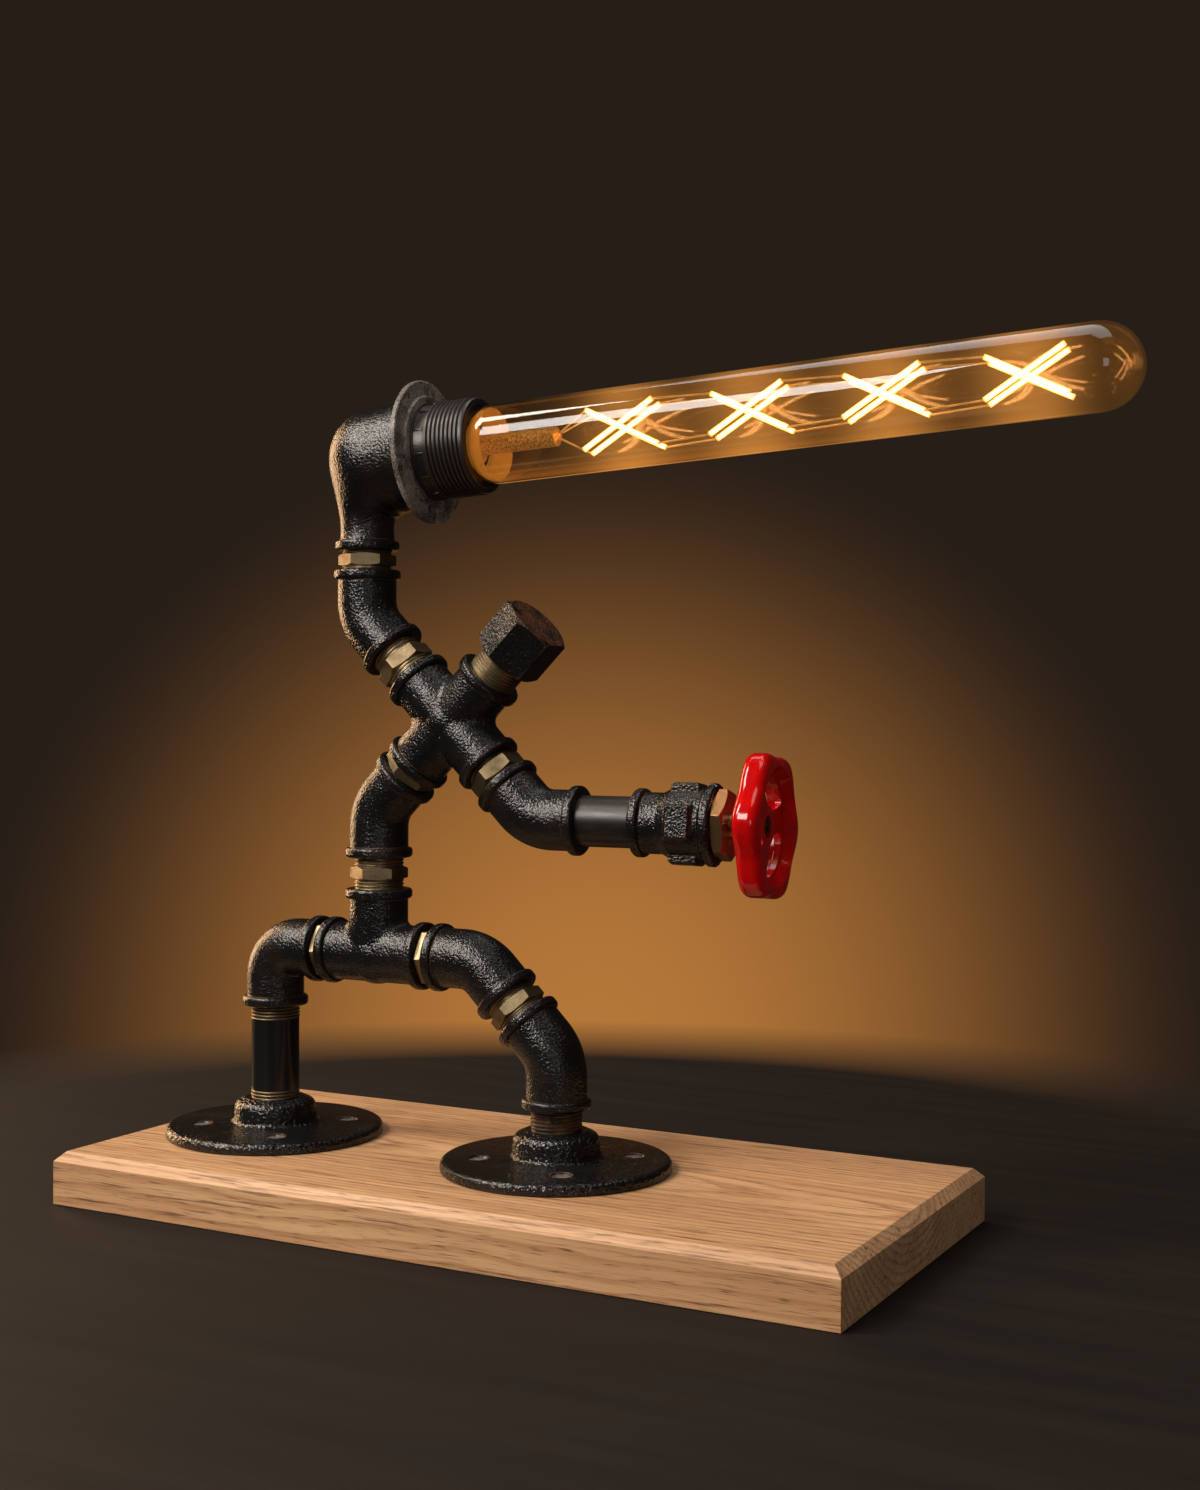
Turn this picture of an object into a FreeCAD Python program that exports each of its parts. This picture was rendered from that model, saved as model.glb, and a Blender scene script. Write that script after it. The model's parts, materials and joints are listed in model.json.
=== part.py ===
"""Industrial pipe table lamp: a walking figure of half-inch malleable pipe fittings on a wooden board.

The frame has its origin at the centre of the board's underside, +X along the board towards the bulb's
tip, +Y towards the board's back edge and +Z up.  Millimetres and degrees.
"""
import FreeCAD
import Part
import math
import os

# --- Driving dimensions ------------------------------------------------------------------------

# Board
BOARD_LENGTH = 345.0
BOARD_DEPTH = 162.0
BOARD_THICKNESS = 21.5
BOARD_CHAMFER = 3.8
WELL_RADIUS = 9.0             # cable well through the board, under the left flange
GROOVE_WIDTH = 9.0            # cable groove from the well to the back edge
GROOVE_DEPTH = 8.0

# Places of the figure, which stands in one plane parallel to the board's long edge
FIGURE_Y = -6.0
HIP_X = -62.5

# Half-inch fittings
THREAD_RADIUS = 9.5           # pitch radius of the pipe thread, where it is screwed in
THREAD_DEPTH = 12.5           # depth of the threaded socket in a fitting
ENGAGEMENT = 11.5             # length of thread screwed into it
THREAD_CREST = 9.9            # radius of the thread where it shows between two fittings
FIT = 0.05                    # radial clearance of a screwed or running fit
SEAT = 0.05                   # axial clearance of a face that seats on another
BODY_RADIUS = 12.25
BEAD_RADIUS = 14.0
BEAD_WIDTH = 4.2
BEAD_ROUND = 1.4
CAVITY_RADIUS = 9.0           # waterway between the threaded sockets
NIPPLE_BORE = 7.0
PIPE_RADIUS = 10.2
ELBOW_ARM = 25.5              # centre to face of the 90 degree elbow
ELBOW_BEND = 13.0
HALF_ELBOW_ARM = 20.5         # centre to face of the 45 degree elbows
HALF_ELBOW_BEND = 19.0
TEE_RUN = 24.5
TEE_BRANCH = 27.25
CROSS_ARM = 26.0
CENTRE_BULGE = 0.75           # how far the middle of a tee or cross swells past its arms
CROTCH_ROUND = 4.0
HEX_FLATS = 21.0
HEX_CHAMFER = 0.6

# Visible lengths between the faces of neighbouring fittings
LEFT_SHIN_GAP = 39.75
LEFT_HIP_GAP = 3.8
RIGHT_HIP_GAP = 4.5
RIGHT_KNEE_GAP = 10.3
WAIST_GAP = 13.0
BELLY_GAP = 5.0
NECK_ROOT_GAP = 14.2
HEAD_GAP = 8.0
SHOULDER_GAP = 8.7
FOREARM_GAP = 23.1
CAP_GAP = 9.6

# Lengths of the nipples' hexes
LEFT_HIP_HEX = 3.0
RIGHT_HIP_HEX = 3.6
RIGHT_KNEE_HEX = 5.0
WAIST_HEX = 5.0
BELLY_HEX = 4.0
NECK_ROOT_HEX = 6.0
HEAD_HEX = 5.0
SHOULDER_HEX = 6.0

# Floor flange
FLANGE_RADIUS = 46.4
FLANGE_EDGE = 4.6
FLANGE_HEIGHT = 16.0
HUB_RADIUS = 17.8
HUB_TOP_RADIUS = 12.6
HUB_TAPER = 0.6               # radius lost by the hub up to its shoulder
HUB_SHOULDER = 2.0            # height of the crown above the shoulder
HUB_FOOT_ROUND = 2.0
HUB_SHOULDER_ROUND = 3.6
FLANGE_RISE = 0.8             # height gained by the flange from its edge to the hub
FLANGE_FOOT_ROUND = 0.8
SCREW_CIRCLE = 31.0           # radius of the circle that the four screws stand on
SCREW_COUNT = 4
LEFT_FLANGE_TURN = -142.0
RIGHT_FLANGE_TURN = -147.0
SCREW_SHANK_RADIUS = 1.9
SCREW_HEAD_RADIUS = 4.0
SCREW_HEAD_DEPTH = 2.4
SCREW_LENGTH = 17.0
SCREW_HOLE_RADIUS = 2.4
SCREW_POINT = 3.0             # length of the screw's point
SCREW_SUNK = 0.4              # depth of its head below the flange's face
COUNTERSINK_MARGIN = 0.4
SLOT_LENGTH = 4.4             # cross slot in a screw head
SLOT_WIDTH = 0.9
SLOT_DEPTH = 1.0

# Left shin: a pipe nipple, with the ends of its thread showing
SHIN_LOWER_THREAD = 3.5
SHIN_UPPER_THREAD = 5.5

# Head elbow, a reducing elbow that carries the lamp socket
BULB_RISE = 3.5               # angle of the bulb's axis above the horizontal
HEAD_TURN = 4.4               # angle at rest of the head about its neck, from +X towards +Y
HEAD_DROP = 38.0              # height of the bulb's axis above the small end's face
HEAD_REACH = 27.3             # bulb's axis, from the neck's axis to the large end's face
HEAD_NECK_RADIUS = 11.5
HEAD_BEAD_RADIUS = 13.4
HEAD_LARGE_RADIUS = 22.4
HEAD_MOUTH_LENGTH = 8.2       # straight mouth behind the large end's face
HEAD_CHAMBER_RADIUS = 12.5    # hollow where the waterway meets the mouth
HEAD_CHAMBER_X = 1.5
HEAD_CHAMBER_Z = -2.0

# Lamp socket; stations are distances along the bulb's axis from the neck's axis
SOCKET_BACK = 6.0
SOCKET_BODY_RADIUS = 18.3
SOCKET_THREAD_RADIUS = 20.0
SOCKET_COLLAR_RADIUS = 19.2
SOCKET_THREAD_START = 37.5
SOCKET_THREAD_END = 53.3
SOCKET_RIM = 54.8
SOCKET_RIM_RADIUS = 18.9
SOCKET_MOUTH_RADIUS = 16.9
SOCKET_MOUTH_DEPTH = 6.0
SOCKET_BACK_ROOM = 1.0        # room behind the socket in the elbow
SOCKET_LAND = 1.0             # full thread left in front of the shade ring
SOCKET_BACK_ROUND = 1.5
SOCKET_RIM_ROUND = 0.6
SHADE_RING_RADIUS = 29.6
SHADE_RING_THICKNESS = 4.0
SHADE_RING_EDGE = 2.6         # thickness at its edge
SHADE_RING_LIP = 2.6          # width of the raised lip round its bore
SHADE_RING_STEP = 0.8
SHADE_RING_ROUND = 0.8
RING_SLOT_WIDTH = 0.9
RING_SLOT_OFFSET = 2.6        # each slot of a pair, from the ring's middle line
RING_SLOT_FLOOR = 1.6
SHELL_WALL = 0.8
SHELL_FRONT = 48.0
SHELL_LENGTH = 26.0
CONTACT_BLOCK_LENGTH = 7.0
SHELL_HOLE_RADIUS = 9.5       # hole in the shell's floor
POCKET_WIDTH = 5.0            # terminal pockets in the contact block
POCKET_DEPTH = 4.0
POCKET_PLACE = 9.5
TONGUE_WIDTH = 4.4            # sprung centre contact
TONGUE_THICKNESS = 0.6
TONGUE_FOOT = 6.5
TONGUE_HEEL = 3.0
TONGUE_RISE = 1.9             # from the shell's floor to the bulb's contact
LEAD_ENTRY_RADIUS = 5.5       # hole in the socket's back

# Tube bulb; stations are distances along its axis, from the neck's axis when it is screwed home
CAP_RADIUS = 13.1
CAP_WALL = 0.5
CAP_FRONT = 50.5
CAP_LENGTH_BULB = 22.0
CAP_CONE_LENGTH = 3.4
CAP_CONTACT_RADIUS = 4.2
CAP_CONTACT_HEIGHT = 1.2
CAP_CONTACT_ROUND = 0.6
TUBE_RADIUS = 16.25
GLASS_WALL = 1.0
BULB_TIP = 317.6
SHOULDER_FRONT = 62.0         # station where the glass reaches its full radius
SHOULDER_OUT = 0.5            # where the shoulder starts, in front of the cap
SHOULDER_NECK_PULL = 1.5      # places of its curve's handles, behind its middle
SHOULDER_TUBE_PULL = 2.5
GLASS_NECK = 8.0              # length of the glass inside the cap
CAP_HOLE_RADIUS = 9.0
CAP_EDGE_ROUND = 1.0
INSULATOR_PLUG = 2.0
INSULATOR_STEP = 0.4
STEM_BASE = 43.5              # station of the stem's seal in the neck
STEM_RIM = 1.0
STEM_FLARE = 4.0              # lengths from the base to the flare and to the tube
STEM_TUBE = 12.0
STEM_TIP = 90.0
STEM_RADIUS = 3.6
STEM_PINCH = 5.0              # length of the pinched tip
STEM_PINCH_RADIUS = 1.8
STEM_FLARE_RADIUS = 9.0
STEM_FLARE_ROUND = 3.0
STEM_TUBE_ROUND = 5.0
STEM_PINCH_ROUND = 1.0
STEM_TIP_ROUND = 0.8
ROD_GROUPS = 4
ROD_FIRST = 117.0             # station of the first crossing of light rods
ROD_PITCH = 53.0
ROD_HALF_LENGTH = 15.0
ROD_HALF_SPREAD = 8.3
ROD_TILT = 0.35               # how far a rod leans out of its layer, in layers
ROD_STAGGER = 0.3             # how far the two rods of a crossing stand apart, in layers
ROD_LAYER = 4.2               # distance of the front and rear crossings from the axis
ROD_RADIUS = 1.1
WIRE_RADIUS = 0.4

# Hex cap on the raised arm
CAP_FLATS = 26.0
CAP_LENGTH = 20.5
CAP_CHAMFER = 1.2
CAP_TURN = 0.0

# Raised arm: its fittings and the wheel, turned a little on the shoulder's thread at rest
ARM_TURN = -8.8

# Forearm coupling, a reducing coupling with four cast lugs
COUPLING_LENGTH = 33.8
COUPLING_SMALL_BEAD = 13.6
COUPLING_SMALL_BODY = 12.1
COUPLING_STEP = 14.5
COUPLING_LARGE_BODY = 14.2
COUPLING_LARGE_BEAD = 15.6
LUG_COUNT = 4
LUG_STATION = 21.5
LUG_LENGTH = 11.0
LUG_WIDTH = 14.0
LUG_RADIUS = 16.0
LUG_CHAMFER = 1.2
END_LUG_COUNT = 2             # lugs across the large end's bead
END_LUG_RADIUS = 16.2
END_LUG_WIDTH = 8.0
END_LUG_INSET = 0.3           # from the bead's faces
COUPLING_FOOT_ROUND = 0.8
COUPLING_STEP_BACK = 3.0      # start and end of the step from the small body to the large one
COUPLING_STEP_FRONT = 1.0
COUPLING_STEP_ROUND = 3.0
COUPLING_BORE_ROOM = 0.6      # room round the switch

# Hex bushing, rotary switch and its spindle
BUSHING_FLATS = 25.0
BUSHING_HEX = 5.2
BUSHING_CHAMFER = 1.0
BUSHING_TURN = -12.0
SWITCH_SET_BACK = 1.0         # room between the pipe thread's end and the switch
SWITCH_RADIUS = 8.6
SWITCH_WALL = 1.4
SWITCH_LENGTH = 11.6
SWITCH_NECK_RADIUS = 4.9
SWITCH_NECK_OUT = 3.0         # how far the neck stands out of the bushing
SPINDLE_RADIUS = 3.0
ROTOR_RADIUS = 6.4
ROTOR_LENGTH = 4.0
ROTOR_ROOM = 1.0
ROTOR_NOTCH_WIDTH = 2.4
ROTOR_NOTCH_FLOOR = 1.6
SWITCH_BASE = 4.2             # thickness of its insulating base
SWITCH_ROUND = 0.8
SWITCH_NECK_ROUND = 0.5
SPINDLE_BACK = 0.6            # how far the spindle stands out behind the rotor

# Hand wheel
WHEEL_RADIUS = 30.0
WHEEL_NOTCH = 3.2             # depth of the hollows between its lobes
WHEEL_LOBES = 6
WHEEL_LOBE_TURN = 30.0        # so that a hollow stands at the top at rest
WHEEL_DEPTH = 10.4            # axial length of the rim
WHEEL_CLEARANCE = 3.0         # gap from the switch's neck to the wheel's hub
WHEEL_ROUND = 3.7
WHEEL_DISH_RADIUS = 23.1
WHEEL_DISH_FLOOR = 20.6
WEB_THICKNESS = 2.4
WEB_SETBACK = 4.3             # from the rim's front face to the web's front face
HUB_BOSS_RADIUS = 6.4
HUB_BOSS_BACK = 2.4
HUB_RECESS_RADIUS = 4.4       # recess in the hub's front, where the washer and the screw sit
HUB_RECESS_DEPTH = 2.2
SPOKE_COUNT = 3
SPOKE_WIDTH = 9.6
SPOKE_TURN = 16.0             # of the first spoke at rest, from the back of the lamp upwards
WINDOW_ROUND = 1.6
WINDOW_TO_BOSS = 1.6          # web left between the windows and the boss, and the windows and the rim
WINDOW_TO_RIM = 1.2
DISH_ROUND = 1.5
RELIEF_ROUND = 1.0
WHEEL_SCREW_HEAD = 2.7
WHEEL_SCREW_HEIGHT = 1.8
WHEEL_SCREW_SHANK = 1.3
WHEEL_SCREW_LENGTH = 8.0
WHEEL_SCREW_ROUND = 0.7
WHEEL_SLOT_WIDTH = 0.8
WHEEL_SLOT_DEPTH = 0.8
TAP_ROOM = 1.0                # room past the screw's end in the spindle
WASHER_RADIUS = 3.9
WASHER_THICKNESS = 0.7

# Wiring inside the pipes
LEAD_RADIUS = 2.2
LEAD_BEND = 16.0
HALF_LEAD_BEND = 20.0
HEAD_LEAD_BEND = 10.0
SPLICE_RADIUS = 4.6
SPLICE_LENGTH = 9.0
SPLICE_CHAMFER = 1.2
TERMINAL_WIDTH = 13.0
TERMINAL_DEPTH = 9.0
TERMINAL_HEIGHT = 9.0
TERMINAL_HOLE_RADIUS = 1.6
TERMINAL_HOLE_DEPTH = 5.0
TERMINAL_SCREW_RADIUS = 1.3
TERMINAL_SCREW_DEPTH = 3.0

# --- Geometry helpers --------------------------------------------------------------------------

Vector = FreeCAD.Vector
UP = Vector(0, 0, 1)


def in_plane(angle):
    """Unit vector in the figure's plane, at an angle above +X."""
    return Vector(math.cos(math.radians(angle)), 0, math.sin(math.radians(angle)))


def rounded_wire(corners):
    """Closed wire of (radius, station, rounding) corners in the XZ plane; a rounding of 0 is sharp."""
    cuts = []
    for index, (radius, station, rounding) in enumerate(corners):
        here = Vector(radius, 0, station)
        if rounding == 0:
            cuts.append((here, here, here))
            continue
        previous = corners[index - 1]
        following = corners[(index + 1) % len(corners)]
        back = (Vector(previous[0], 0, previous[1]) - here).normalize()
        ahead = (Vector(following[0], 0, following[1]) - here).normalize()
        half = back.getAngle(ahead) / 2
        inward = (back + ahead).normalize()
        reach = rounding / math.tan(half)
        middle = here + inward * (rounding / math.sin(half) - rounding)
        cuts.append((here + back * reach, middle, here + ahead * reach))
    edges = []
    for index, (enter, middle, leave) in enumerate(cuts):
        if enter != leave:
            edges.append(Part.Arc(enter, middle, leave).toShape())
        following = cuts[(index + 1) % len(cuts)][0]
        if (following - leave).Length > 1e-6:
            edges.append(Part.makeLine(leave, following))
    return Part.Wire(edges)


def placed(shape, start, along, turn=0.0):
    """Moves a shape built about the Z axis, so that Z runs from start in the direction along."""
    spin = FreeCAD.Rotation(UP, turn)
    shape.Placement = FreeCAD.Placement(start, FreeCAD.Rotation(UP, along).multiply(spin))
    return shape


def turned(corners, start, along, turn=0.0):
    """Solid of revolution of (radius, station, rounding) corners about an axis."""
    face = Part.Face(rounded_wire(corners))
    return placed(face.revolve(Vector(0, 0, 0), UP, 360), start, along, turn)


def rod(radius, start, end):
    return Part.makeCylinder(radius, (end - start).Length, start, end - start)


def hexagon(flats, low, high, chamfer=0.0):
    """Hex prism about the Z axis between two stations, with turned chamfers on both ends."""
    corner = flats / math.sqrt(3)
    points = [Vector(corner * math.cos(math.radians(30 + 60 * side)),
                     corner * math.sin(math.radians(30 + 60 * side)), low) for side in range(7)]
    prism = Part.Face(Part.makePolygon(points)).extrude(Vector(0, 0, high - low))
    if chamfer == 0:
        return prism
    flat_radius = flats / 2
    envelope = [(0, low, 0), (flat_radius, low, 0), (corner, low + chamfer, 0),
                (corner, high - chamfer, 0), (flat_radius, high, 0), (0, high, 0)]
    return prism.common(turned(envelope, Vector(0, 0, 0), UP))


def bend(vertex, towards_a, towards_b, radius, bend_radius):
    """Round bar that turns from one direction out of a vertex to the other, and its tangents' length."""
    half = towards_a.getAngle(towards_b) / 2
    tangent = bend_radius / math.tan(half)
    start = vertex + towards_a * tangent
    centre = vertex + (towards_a + towards_b).normalize() * (bend_radius / math.sin(half))
    axis = towards_b.cross(towards_a).normalize()
    if axis.cross(start - centre).dot(towards_a) > 0:
        axis = axis * -1
    circle = Part.Face(Part.Wire(Part.makeCircle(radius, start, towards_a)))
    return circle.revolve(centre, axis, 180 - math.degrees(2 * half)), tangent


def piped(points, radius, bend_radius):
    """Round bar along straight runs joined by tangent arcs."""
    pieces = []
    start = points[0]
    for index in range(1, len(points) - 1):
        vertex = points[index]
        back = (points[index - 1] - vertex).normalize()
        ahead = (points[index + 1] - vertex).normalize()
        arc, tangent = bend(vertex, back, ahead, radius, bend_radius)
        pieces += [rod(radius, start, vertex + back * tangent), arc]
        start = vertex + ahead * tangent
    pieces.append(rod(radius, start, points[-1]))
    return pieces[0].fuse(pieces[1:]).removeSplitter()


# --- Fittings ----------------------------------------------------------------------------------

def port(vertex, direction, arm, first, body=BODY_RADIUS, bead=BEAD_RADIUS):
    """Outside of one arm of a fitting, from a distance out of its vertex to its beaded face."""
    shoulder = arm - BEAD_WIDTH
    return turned([(0, first, 0), (body, first, 0), (body, shoulder, 0), (bead, shoulder, BEAD_ROUND),
                   (bead, arm, BEAD_ROUND), (0, arm, 0)], vertex, direction)


def socket_bore(vertex, direction, arm):
    """Threaded socket in one arm of a fitting."""
    return rod(THREAD_RADIUS + FIT, vertex + direction * (arm - THREAD_DEPTH), vertex + direction * arm)


def elbow(vertex, towards_a, towards_b, arm, bend_radius):
    outside, tangent = bend(vertex, towards_a, towards_b, BODY_RADIUS, bend_radius)
    inside = bend(vertex, towards_a, towards_b, CAVITY_RADIUS, bend_radius)[0]
    for direction in (towards_a, towards_b):
        outside = outside.fuse(port(vertex, direction, arm, tangent))
        inside = inside.fuse(rod(CAVITY_RADIUS, vertex + direction * tangent, vertex + direction * arm))
        inside = inside.fuse(socket_bore(vertex, direction, arm))
    return outside.removeSplitter().cut(inside)


def branched(centre, ports):
    """Tee or cross from (direction, arm) ports, with rounded crotches as cast."""
    outside = Part.makeSphere(BODY_RADIUS + CENTRE_BULGE, centre)
    inside = Part.makeSphere(CAVITY_RADIUS, centre)
    for direction, arm in ports:
        outside = outside.fuse(port(centre, direction, arm, 0))
        inside = inside.fuse(rod(CAVITY_RADIUS, centre, centre + direction * arm))
        inside = inside.fuse(socket_bore(centre, direction, arm))
    outside = outside.removeSplitter()
    crotch_reach = BODY_RADIUS * math.sqrt(2) + 1
    crotches = [edge for edge in outside.Edges
                if max((vertex.Point - centre).Length for vertex in edge.Vertexes) < crotch_reach]
    return outside.makeFillet(CROTCH_ROUND, crotches).cut(inside.removeSplitter())


def threaded_sleeve(gap, sections, before=ENGAGEMENT, after=ENGAGEMENT):
    """Nipple about Z with its first fitting's face at 0; sections are (radius, end station) of what shows."""
    corners = [(NIPPLE_BORE, -before, 0), (THREAD_RADIUS, -before, 0), (THREAD_RADIUS, SEAT, 0)]
    for radius, end in sections:
        corners += [(radius, corners[-1][1], 0), (radius, end, 0)]
    corners += [(THREAD_RADIUS, gap - SEAT, 0), (THREAD_RADIUS, gap + after, 0),
                (NIPPLE_BORE, gap + after, 0)]
    return turned(corners, Vector(0, 0, 0), UP)


def hex_nipple(face, direction, gap, hex_length, turn=0.0):
    """Hex nipple between two fittings, the first of which ends at face."""
    sleeve = threaded_sleeve(gap, [(THREAD_CREST, gap - SEAT)])
    low = (gap - hex_length) / 2
    collar = hexagon(HEX_FLATS, low, low + hex_length, HEX_CHAMFER)
    bore = Part.makeCylinder(NIPPLE_BORE, hex_length, Vector(0, 0, low))
    return placed(sleeve.fuse(collar.cut(bore)).removeSplitter(), face, direction, turn)


def plain_nipple(face, direction, gap, sections, before=ENGAGEMENT, after=ENGAGEMENT):
    return placed(threaded_sleeve(gap, sections, before, after), face, direction)


# --- Skeleton: vertices and faces of the fittings ----------------------------------------------

RIGHT, LEFT, DOWN = in_plane(0), in_plane(180), in_plane(270)
UP_RIGHT, UP_LEFT, DOWN_LEFT, DOWN_RIGHT = in_plane(45), in_plane(135), in_plane(225), in_plane(315)

flange_top = BOARD_THICKNESS + FLANGE_HEIGHT
hip_z = flange_top + LEFT_SHIN_GAP + ELBOW_ARM
hip = Vector(HIP_X, FIGURE_Y, hip_z)
left_knee = hip + LEFT * (TEE_RUN + LEFT_HIP_GAP + ELBOW_ARM)
right_thigh = hip + RIGHT * (TEE_RUN + RIGHT_HIP_GAP + HALF_ELBOW_ARM)
right_shin = right_thigh + DOWN_RIGHT * (2 * HALF_ELBOW_ARM + RIGHT_KNEE_GAP)
right_ankle_gap = right_shin.z - HALF_ELBOW_ARM - flange_top
waist = hip + UP * (TEE_BRANCH + WAIST_GAP + HALF_ELBOW_ARM)
chest = waist + UP_RIGHT * (HALF_ELBOW_ARM + BELLY_GAP + CROSS_ARM)
nape = chest + UP_LEFT * (CROSS_ARM + NECK_ROOT_GAP + HALF_ELBOW_ARM)
head = nape + UP * (HALF_ELBOW_ARM + HEAD_GAP + HEAD_DROP)
upper_arm = chest + DOWN_RIGHT * (CROSS_ARM + SHOULDER_GAP + HALF_ELBOW_ARM)
wrist = upper_arm + RIGHT * (HALF_ELBOW_ARM + FOREARM_GAP)
palm = wrist + RIGHT * COUPLING_LENGTH
neck_end = palm + RIGHT * (BUSHING_HEX + SWITCH_NECK_OUT)
wheel_back = neck_end + RIGHT * WHEEL_CLEARANCE
wheel_rim_back = wheel_back + RIGHT * HUB_BOSS_BACK

head_turn = FreeCAD.Rotation(UP, HEAD_TURN)
bulb_axis = head_turn.multVec(in_plane(BULB_RISE))


def on_bulb_axis(station):
    return head + bulb_axis * station


def bulb_contact_station():
    """Station of the end of the bulb's centre contact, in the bulb's own stations."""
    return CAP_FRONT - CAP_LENGTH_BULB - CAP_CONE_LENGTH - CAP_CONTACT_HEIGHT


# The bulb is screwed home when its contact meets the sprung tongue of the socket
bulb_contact = SHELL_FRONT - SHELL_LENGTH + TONGUE_RISE
bulb_foot = on_bulb_axis(bulb_contact - bulb_contact_station())


# --- Board and legs ----------------------------------------------------------------------------

def base_board():
    board = Part.makeBox(BOARD_LENGTH, BOARD_DEPTH, BOARD_THICKNESS,
                         Vector(-BOARD_LENGTH / 2, -BOARD_DEPTH / 2, 0))
    rim = [edge for edge in board.Edges if min(vertex.Z for vertex in edge.Vertexes) > BOARD_THICKNESS / 2]
    board = board.makeChamfer(BOARD_CHAMFER, rim)
    well = Part.makeCylinder(WELL_RADIUS, BOARD_THICKNESS, Vector(left_knee.x, FIGURE_Y, 0))
    groove = Part.makeBox(GROOVE_WIDTH, BOARD_DEPTH / 2 - FIGURE_Y, GROOVE_DEPTH,
                          Vector(left_knee.x - GROOVE_WIDTH / 2, FIGURE_Y, 0))
    board = board.cut([well, groove])
    pilot_depth = SCREW_LENGTH - FLANGE_EDGE
    places = screw_places(left_knee.x, LEFT_FLANGE_TURN) + screw_places(right_shin.x, RIGHT_FLANGE_TURN)
    pilots = [Part.makeCylinder(SCREW_SHANK_RADIUS + FIT, pilot_depth, place - UP * pilot_depth)
              for place in places]
    return board.cut(pilots)


def screw_places(centre_x, turn):
    """Where the screws of one flange enter the board."""
    places = []
    for index in range(SCREW_COUNT):
        angle = math.radians(turn + 360 / SCREW_COUNT * index)
        places.append(Vector(centre_x + SCREW_CIRCLE * math.cos(angle),
                             FIGURE_Y + SCREW_CIRCLE * math.sin(angle), BOARD_THICKNESS))
    return places


def floor_flange(centre_x, turn):
    corners = [(0, 0, 0), (FLANGE_RADIUS, 0, FLANGE_FOOT_ROUND),
               (FLANGE_RADIUS, FLANGE_EDGE, FLANGE_EDGE / 2),
               (HUB_RADIUS, FLANGE_EDGE + FLANGE_RISE, HUB_FOOT_ROUND),
               (HUB_RADIUS - HUB_TAPER, FLANGE_HEIGHT - HUB_SHOULDER, HUB_SHOULDER_ROUND),
               (HUB_TOP_RADIUS, FLANGE_HEIGHT, 0), (0, FLANGE_HEIGHT, 0)]
    flange = turned(corners, Vector(centre_x, FIGURE_Y, BOARD_THICKNESS), UP)
    base = Vector(centre_x, FIGURE_Y, BOARD_THICKNESS)
    bores = [rod(NIPPLE_BORE, base, base + UP * FLANGE_HEIGHT),
             rod(THREAD_RADIUS + FIT, base + UP * (FLANGE_HEIGHT - THREAD_DEPTH), base + UP * FLANGE_HEIGHT)]
    head_seat = FLANGE_EDGE - SCREW_HEAD_DEPTH
    sink_radius = SCREW_HEAD_RADIUS + COUNTERSINK_MARGIN
    for place in screw_places(centre_x, turn):
        bores.append(turned([(0, 0, 0), (SCREW_HOLE_RADIUS, 0, 0), (SCREW_HOLE_RADIUS, head_seat, 0),
                             (sink_radius, FLANGE_EDGE, 0), (sink_radius, FLANGE_HEIGHT, 0),
                             (0, FLANGE_HEIGHT, 0)], place, UP))
    return flange.cut(bores)


def flange_screws(centre_x, turn):
    """Countersunk wood screws, whose cone bears on the countersink of the flange."""
    top = FLANGE_EDGE - SCREW_SUNK
    tip = FLANGE_EDGE - SCREW_LENGTH
    screws = []
    for place in screw_places(centre_x, turn):
        screw = turned([(0, tip, 0), (SCREW_SHANK_RADIUS, tip + SCREW_POINT, 0),
                        (SCREW_SHANK_RADIUS, FLANGE_EDGE - SCREW_HEAD_DEPTH, 0), (SCREW_HEAD_RADIUS, top, 0),
                        (0, top, 0)], place, UP)
        slots = [Part.makeBox(length, width, SLOT_DEPTH,
                              place + Vector(-length / 2, -width / 2, top - SLOT_DEPTH))
                 for length, width in ((SLOT_LENGTH, SLOT_WIDTH), (SLOT_WIDTH, SLOT_LENGTH))]
        screws.append(screw.cut(slots))
    return Part.makeCompound(screws)


def inlet_terminal():
    """Two-pole screw terminal in the cable well, where the mains lead is joined on."""
    top = BOARD_THICKNESS
    corner = Vector(left_knee.x - TERMINAL_WIDTH / 2, FIGURE_Y - TERMINAL_DEPTH / 2, top - TERMINAL_HEIGHT)
    block = Part.makeBox(TERMINAL_WIDTH, TERMINAL_DEPTH, TERMINAL_HEIGHT, corner)
    for side in (-1, 1):
        centre = Vector(left_knee.x + side * TERMINAL_WIDTH / 4, FIGURE_Y, top - TERMINAL_HEIGHT)
        screw_start = centre + Vector(0, -TERMINAL_DEPTH / 2, TERMINAL_HOLE_DEPTH)
        block = block.cut([Part.makeCylinder(TERMINAL_HOLE_RADIUS, TERMINAL_HOLE_DEPTH, centre),
                           Part.makeCylinder(TERMINAL_SCREW_RADIUS, TERMINAL_SCREW_DEPTH, screw_start,
                                             Vector(0, 1, 0))])
    return block


def left_leg_nipple():
    sections = [(THREAD_CREST, SHIN_LOWER_THREAD), (PIPE_RADIUS, LEFT_SHIN_GAP - SHIN_UPPER_THREAD),
                (THREAD_CREST, LEFT_SHIN_GAP - SEAT)]
    return plain_nipple(Vector(left_knee.x, FIGURE_Y, flange_top), UP, LEFT_SHIN_GAP, sections)


# --- Head: elbow, socket and shade ring --------------------------------------------------------

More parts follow.
